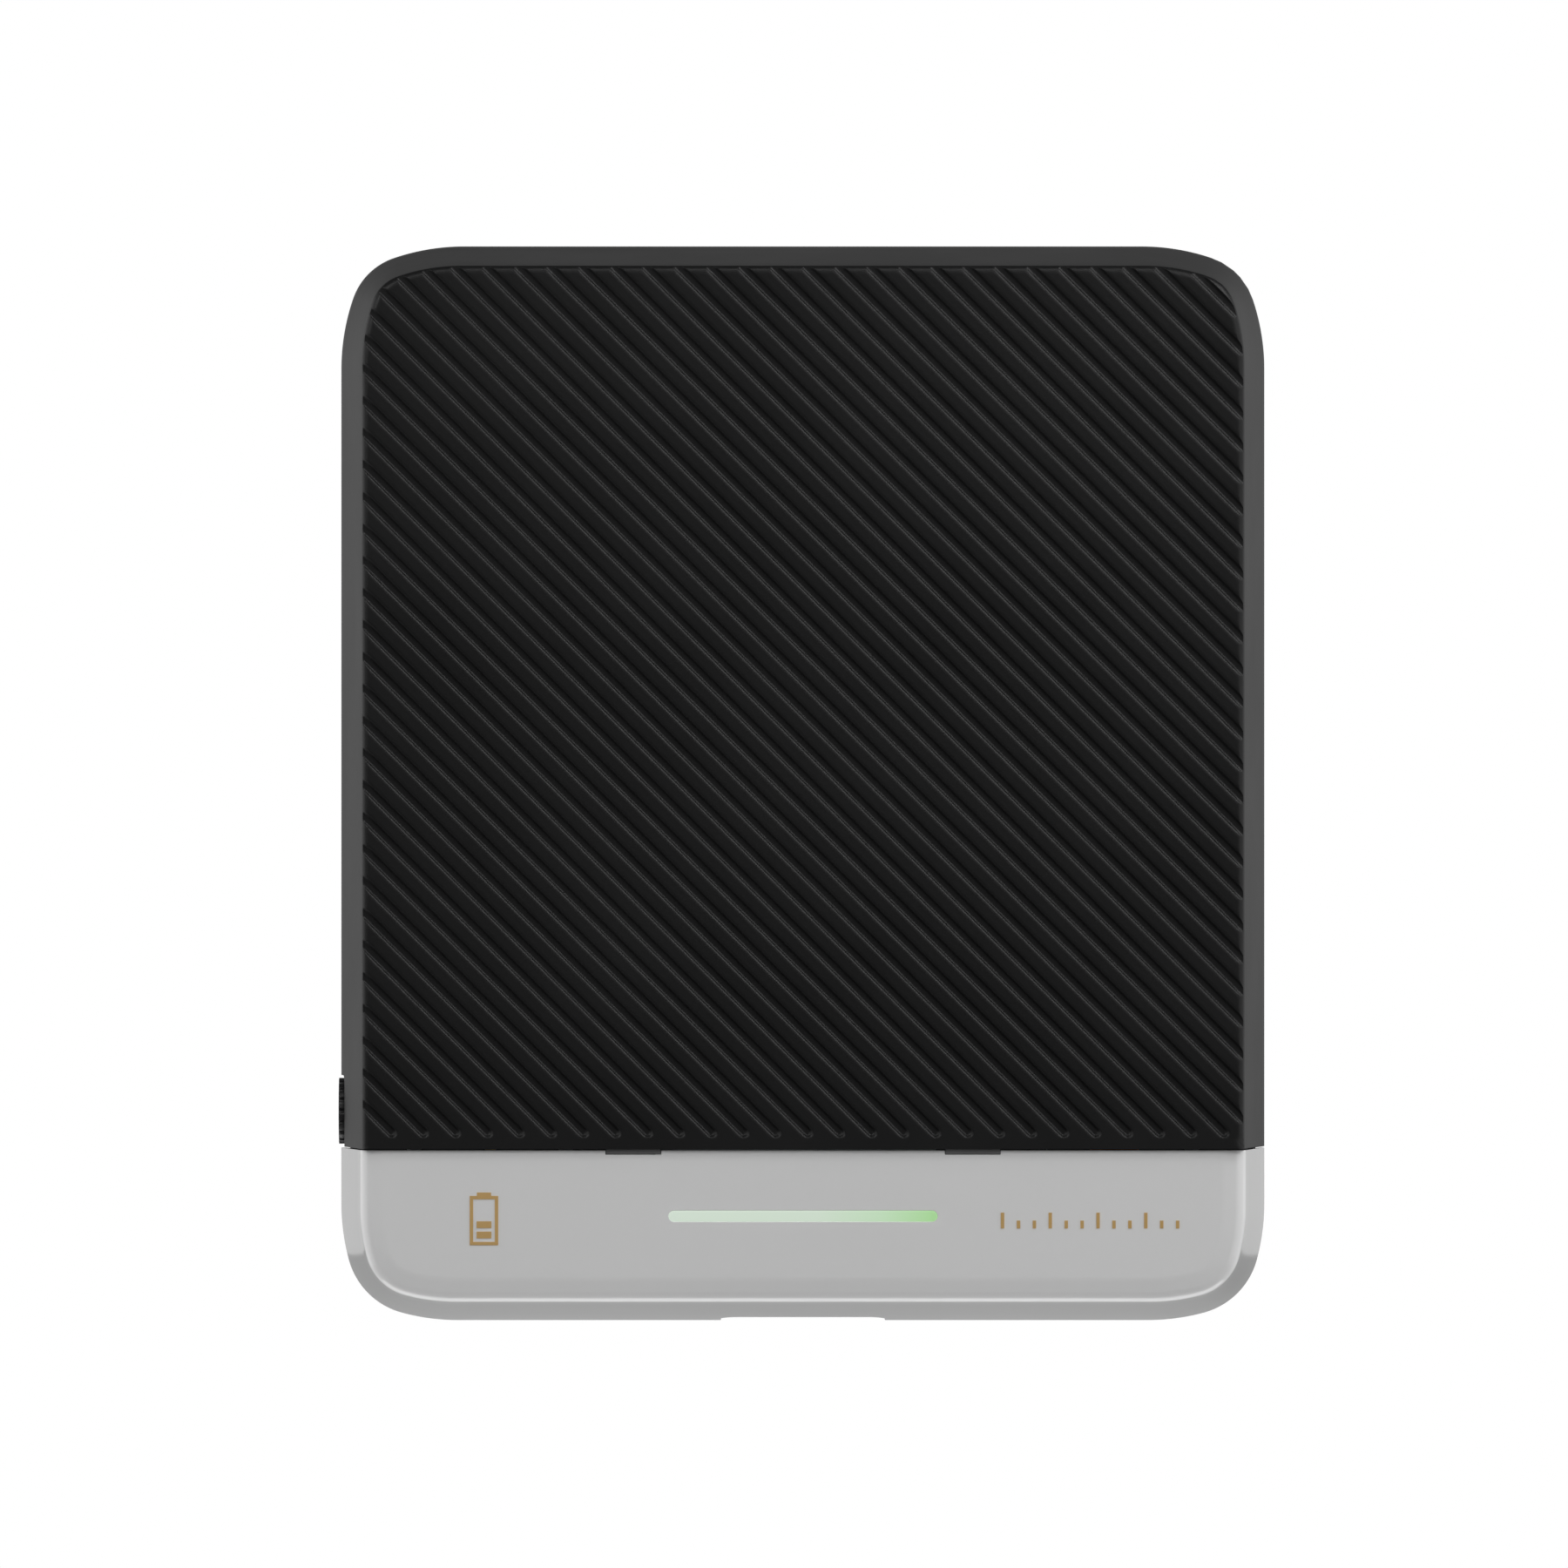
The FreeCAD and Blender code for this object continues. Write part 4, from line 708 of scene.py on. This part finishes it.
def rounded_box_profile(y0, y1, z0, z1, radius, steps=6):
    """YZ outline of a cutter whose upper front corner is rounded."""
    points = [(y1, z0), (y1, z1)]
    for k in range(steps + 1):
        angle = math.pi / 2 * k / steps
        points.append((y0 + radius * (1 - math.sin(angle)), z1 - radius * (1 - math.cos(angle))))
    points.append((y0, z0))
    return points


def yz_prism(name, outline_yz, x0, x1):
    """Closed bar with a YZ outline between two X planes."""
    count = len(outline_yz)
    vertices = [(x, y, z) for x in (x0, x1) for y, z in outline_yz]
    sides = [(k, (k + 1) % count, count + (k + 1) % count, count + k) for k in range(count)]
    return new_mesh_object(name, vertices, sides + [tuple(range(count)), tuple(range(count, 2 * count))])


opening = rounded_box_profile(cut_front, 0.0, split_high - 0.02, knob_high.z + cut_clearance, 5 * mm)
cut(black_cover, yz_prism("knob_cutter", opening, -half - 0.02, -half + 0.012))
smooth(black_cover, 32)
flange_high = split_high + 3 * mm
flange = prism("cover_flange", [(-half + 0.016, split_high), (half - 0.016, split_high),
                                (half - 0.016, flange_high), (-half + 0.016, flange_high)],
               front + front_wall - 0.5 * mm, front + 32 * mm)
flange.data.materials.append(finishes["black_cover"])
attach(black_cover, "battery")
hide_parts("front_cover")
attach(flange, "battery")
report(black_cover)

# %% [markdown]
# ## The glossy white cover
# Gloss shows every flaw in a surface, so this shell is laid out in rings that follow the outline, close
# enough together that no facet shows. Slots are then cut with clean cutters, and one small bevel breaks
# the remaining sharp edges, which gives the thin light line along the top edge.

# %% White cover's rings
face_inset = 23.6 * mm
face_y = white_low.y
shoulder = math.radians(9.0)
rise = math.tan(shoulder)
joint_inset = slope * (skirt_rear - face_y - rise * face_inset) / (1 - slope * rise)
joint_y = face_y + rise * (face_inset - joint_inset)
lower_wall = 3.0 * mm


def white_path():
    """Points and outward directions from the left end of the split, round the bottom, to the right end."""
    corner = outline_points(-1, 60)
    side_low = corner[0][0][1]
    right = [(np.array([half, z]), np.array([1.0, 0.0])) for z in np.linspace(split_low, side_low, 5)[:-1]]
    right += corner
    middle = [(np.array([x, bottom]), np.array([0.0, -1.0])) for x in np.linspace(corner[-1][0][0], 0, 9)[1:-1]]
    right += middle
    left = [(p * (-1, 1), n * (-1, 1)) for p, n in right]
    return left + [(np.array([0.0, bottom]), np.array([0.0, -1.0]))] + right[::-1]


def white_section():
    """Section from the face's edge out over the shoulder and roll, down the side and back inside."""
    crease = 1.6 * mm
    soft = [(face_inset + crease, face_y), (face_inset + 0.45 * crease, face_y + 0.01 * mm),
            (face_inset - 0.45 * crease, face_y + rise * 0.5 * crease),
            (face_inset - crease, face_y + rise * crease)]
    outer = roll_section(7 * mm, joint_inset, joint_y, shoulder, 28)[::-1]
    side = [(i * mm, side_y(i * mm)) for i in (9.5, 7.0, 4.5, 2.2)]
    inner_roll = roll_section(4.5 * mm, joint_inset, joint_y, shoulder, 10)
    inside = [(skirt_wall, skirt_rear), (4.5 * mm, side_y(2.0 * mm))]
    inside += [(i + skirt_wall * 0.9, y + lower_wall) for i, y in inner_roll]
    inside.append((face_inset + 2 * mm, face_y + lower_wall))
    return soft + outer + side + rear_lip(0.5 * mm, 3)[::-1] + inside


def white_shell():
    """Closed shell of the white cover, open at the top and back."""
    path, section = white_path(), white_section()
    vertices, rings = [], []
    for inset, y in section:
        rings.append(list(range(len(vertices), len(vertices) + len(path))))
        vertices += [(p[0] - n[0] * inset, y, p[1] - n[1] * inset) for p, n in path]
    faces = [(a[k], a[k + 1], b[k + 1], b[k]) for a, b in zip(rings, rings[1:]) for k in range(len(path) - 1)]
    faces += [tuple(rings[0]), tuple(rings[-1])]
    faces.append(tuple([ring[0] for ring in rings] + [ring[-1] for ring in rings[::-1]]))
    return new_mesh_object("lower_cover_shell", vertices, faces)


white_cover = white_shell()
report(white_cover)

# %% Slots for the light bar, the two tongues and the cable outlet
lens_low, lens_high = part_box("light_lens")
tongue_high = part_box("snap_tongues")[1]
light_length, light_tall = 141.5 * mm, 5.6 * mm
lens_z = (lens_low.z + lens_high.z) / 2
play = 0.1 * mm
cut(white_cover, prism("light_slot", capsule(light_length + 2 * play, light_tall + 2 * play, 0, lens_z),
                       face_y - 0.002, face_y + 0.008))
tongue_width, tongue_tall = 29.4 * mm, 2.3 * mm
for side in (-1, 1):
    x = side * (tongue_high.x + 0.3 * mm - tongue_width / 2)
    notch = [(x - tongue_width / 2, split_low - tongue_tall), (x + tongue_width / 2, split_low - tongue_tall),
             (x + tongue_width / 2, split_low + 0.01), (x - tongue_width / 2, split_low + 0.01)]
    cut(white_cover, prism("tongue_slot", notch, face_y - 0.002, face_y + 0.01))


def outlet_outline(width, radius, steps=8):
    """XY outline of the cable outlet's notch with rounded front corners."""
    points = [(width / 2, 0.0), (-width / 2, 0.0)]
    for side in (-1, 1):
        arc = [(side * (width / 2 - radius * (1 - math.cos(math.pi / 2 * k / steps))),
                cut_front + radius * (1 - math.sin(math.pi / 2 * k / steps))) for k in range(steps + 1)]
        points += arc if side < 0 else arc[::-1]
    return points


outlet = outlet_outline(87 * mm, 9 * mm)
count = len(outlet)
outlet_cutter = new_mesh_object(
    "outlet_cutter", [(x, y, z) for z in (bottom - 0.02, bottom + 0.012) for x, y in outlet],
    [(k, (k + 1) % count, count + (k + 1) % count, count + k) for k in range(count)]
    + [tuple(range(count)), tuple(range(count, 2 * count))])
cut(white_cover, outlet_cutter)
bevel(white_cover, 0.35 * mm, 3, 40)
smooth(white_cover, 12)
white_cover.data.materials.clear()
white_cover.data.materials.append(finishes["white_cover"])
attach(white_cover, "lower_cover")
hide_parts("lower_cover")
report(white_cover)

# %% [markdown]
# ## The light bar
# The lens is a milky bar that stands in the cover's slot with a soft edge all round. It glows along
# its length by a colour ramp, so no light has to shine through it to show the right colours.

# %% Lens
def light_bar():
    """Lens with a broad flange behind the cover and a softly rounded front."""
    body = prism("light_bar", capsule(light_length, light_tall, 0, lens_z, 20), lens_low.y, face_y + lower_wall)
    bevel(body, 0.5 * mm, 4, 60)
    back = prism("light_bar_flange", capsule(light_length + 7 * mm, light_tall + 7 * mm, 0, lens_z, 20),
                 face_y + lower_wall, lens_high.y)
    body.data.materials.append(finishes["light_lens"])
    back.data.materials.append(finishes["light_lens"])
    for piece in (body, back):
        smooth(piece, 40)
        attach(piece, "lower_cover")
        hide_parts("light_lens")
        report(piece)


light_bar()

# %% [markdown]
# ## Pieces that keep their own shape
# The remaining pieces come from the model as they are. A CAD mesh is loose triangles, so live modifiers
# first weld its corners, then round its sharp edges a little, and keep flat faces flat. Each piece takes
# the finish of its material slot.

# %% Finishes and soft edges for the model's own pieces
slot_of = {entry["node"]: entry["material_slot"] for entry in frame["record"]["subparts"]}
bevel_widths = {"chassis_tray": 0.5, "wall_bracket": 0.4, "hanger_rail": 0.4, "rear_bumpers": 1.2,
                "isolator_bezel": 0.25, "isolator_knob": 0.35, "snap_tongues": 0.3, "service_panel": 0.3,
                "plus_socket": 0.5, "minus_socket": 0.5, "light_bracket": 0.3, "vent_plug": 0.4,
                "button_housing": 0.3, "ground_nut": 0.3, "comm_port_1": 0.25, "comm_port_2": 0.25,
                "comm_port_3": 0.25, "cable_grommet": 0.3, "gold_pictogram": 0.08, "gold_scale": 0.08,
                "module_screws": 0.4, "rail_screws": 0.4, "cover_screws": 0.3}
for name, obj in frame["nodes"].items():
    obj.data.materials.clear()
    obj.data.materials.append(finishes[slot_of[name]])
    if name not in bevel_widths:
        continue
    weld = obj.modifiers.new("weld", "WELD")
    weld.merge_threshold = 0.01 * mm
    soft = obj.modifiers.new("soft edges", "BEVEL")
    soft.width = bevel_widths[name] * mm
    soft.segments = 2
    soft.limit_method = "ANGLE"
    soft.angle_limit = math.radians(35)
    soft.harden_normals = True
print("finished", len(frame["nodes"]), "nodes")

# %% [markdown]
# ## Button spring
# The button's return spring is a steel coil. Its upper end rests in the housing, and its lower end goes
# in with the button, so the real coil gets shorter by the button's travel. This one is a plain copy of the
# model's coil, so it keeps its length, and a coil that keeps its length is cut by the pressed button.

# %% Button spring
def button_spring():
    """Copy of the model's coil, which keeps its length when the button is pressed."""
    node = frame["nodes"]["button_spring"]
    coil = new_mesh_object("button_spring_coil", [node.matrix_world @ v.co for v in node.data.vertices],
                           [tuple(face.vertices) for face in node.data.polygons])
    coil.data.materials.append(finishes[slot_of["button_spring"]])
    smooth(coil, 35)
    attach(coil, "battery")
    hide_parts("button_spring")
    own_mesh(coil)


button_spring()

# %% [markdown]
# ## Stage
# A pale floor lies well below, as under a unit that hangs on a wall. It glows only to the camera, so it
# looks pale and still leaves the dark side of each groove dark. Two soft lights stand at the sides for the
# rolled edges. The key and the rim come from the upper right and make the grooves read, a fill and a strip
# even out the front, and a low light behind the front's plane lifts only the underside. The room is dim.

# %% Floor, lights and room
floor_grey = 0.18
floor_glow = 0.66


def pale_floor():
    """Large round floor that looks pale to the camera and stays out of the lighting."""
    radius, height, sides = 11.0, bottom - 0.75, 96
    ring = [(radius * math.cos(2 * math.pi * k / sides), radius * math.sin(2 * math.pi * k / sides), height)
            for k in range(sides)]
    floor = new_mesh_object("floor", ring, [tuple(range(sides))])
    material = bpy.data.materials.new("Pale floor")
    material.use_nodes = True
    tree = material.node_tree
    shader = tree.nodes["Principled BSDF"]
    shader.inputs["Base Color"].default_value = (floor_grey, floor_grey, floor_grey, 1.0)
    shader.inputs["Roughness"].default_value = 0.9
    shader.inputs["Emission Color"].default_value = (1.0, 1.0, 1.0, 1.0)
    camera_ray = tree.nodes.new("ShaderNodeLightPath").outputs["Is Camera Ray"]
    tree.links.new(math_node(tree, "MULTIPLY", camera_ray, floor_glow), shader.inputs["Emission Strength"])
    floor.data.materials.append(material)


def soft_light(name, place, target, size, radiance):
    """Square area light that faces a target; radiance is the brightness of its face."""
    light = bpy.data.lights.new(name, "AREA")
    light.shape = "RECTANGLE"
    light.size, light.size_y = size
    light.energy = radiance * math.pi * size[0] * size[1]
    obj = bpy.data.objects.new(name, light)
    obj.location = place
    obj.rotation_euler = (Vector(target) - Vector(place)).to_track_quat("-Z", "Y").to_euler()
    obj.visible_camera = False
    bpy.context.scene.collection.objects.link(obj)


pale_floor()
centre = (0.0, front, middle_z)
soft_light("left softbox", (-1.6, 0.15, -0.1), (0.0, 0.15, -0.1), (2.3, 2.0), 1.1)
soft_light("right softbox", (1.6, -0.55, -0.1), (0.0, -0.55, -0.1), (3.7, 2.0), 0.7)
soft_light("upper right key", (1.4, -2.6, middle_z + 1.7), centre, (1.2, 1.2), 4.1)
soft_light("upper right rim", (1.7, -0.8, middle_z + 1.7), centre, (1.1, 1.1), 3.8)
soft_light("upper left fill", (-1.9, -2.6, middle_z + 1.5), centre, (1.6, 1.6), 3.0)
soft_light("overhead strip", (0.2, -1.3, middle_z + 2.0), centre, (2.0, 0.5), 2.2)
soft_light("low bounce", (0.0, 0.1, -1.1), (0.0, 0.1, bottom), (1.8, 0.6), 2.3)

world = bpy.data.worlds.new("Room")
bpy.context.scene.world = world
world.use_nodes = True
room = world.node_tree
backdrop = room.nodes["Background"]
backdrop.inputs["Color"].default_value = (1.0, 1.0, 1.0, 1.0)
place = room.nodes.new("ShaderNodeTexCoord").outputs["Generated"]
split = room.nodes.new("ShaderNodeSeparateXYZ")
room.links.new(place, split.inputs[0])
behind = math_node(room, "MULTIPLY_ADD", math_node(room, "MAXIMUM", split.outputs["Y"], 0.0), 0.2, 0.2)
tall = math_node(room, "ABSOLUTE", split.outputs["Z"])
overhead = math_node(room, "MAXIMUM", math_node(room, "MULTIPLY_ADD", tall, -0.5, behind), 0.05)
seen = room.nodes.new("ShaderNodeLightPath").outputs["Is Camera Ray"]
room.links.new(math_node(room, "MAXIMUM", seen, overhead), backdrop.inputs["Strength"])

# %% Camera
picture_width = 832.5 * mm
distance = 12.0
camera_data = bpy.data.cameras.new("camera")
camera_data.sensor_width = 36.0
camera_data.lens = camera_data.sensor_width * (distance + skirt_rear) / picture_width
camera_data.clip_end = 200.0
camera = bpy.data.objects.new("camera", camera_data)
camera.location = (-10.0 * mm, -distance, middle_z - 0.4 * mm)
camera.rotation_euler = (math.pi / 2, 0, 0)
bpy.context.scene.collection.objects.link(camera)
bpy.context.scene.camera = camera
bpy.context.scene.view_settings.view_transform = "Standard"
print("lens", round(camera_data.lens, 1))
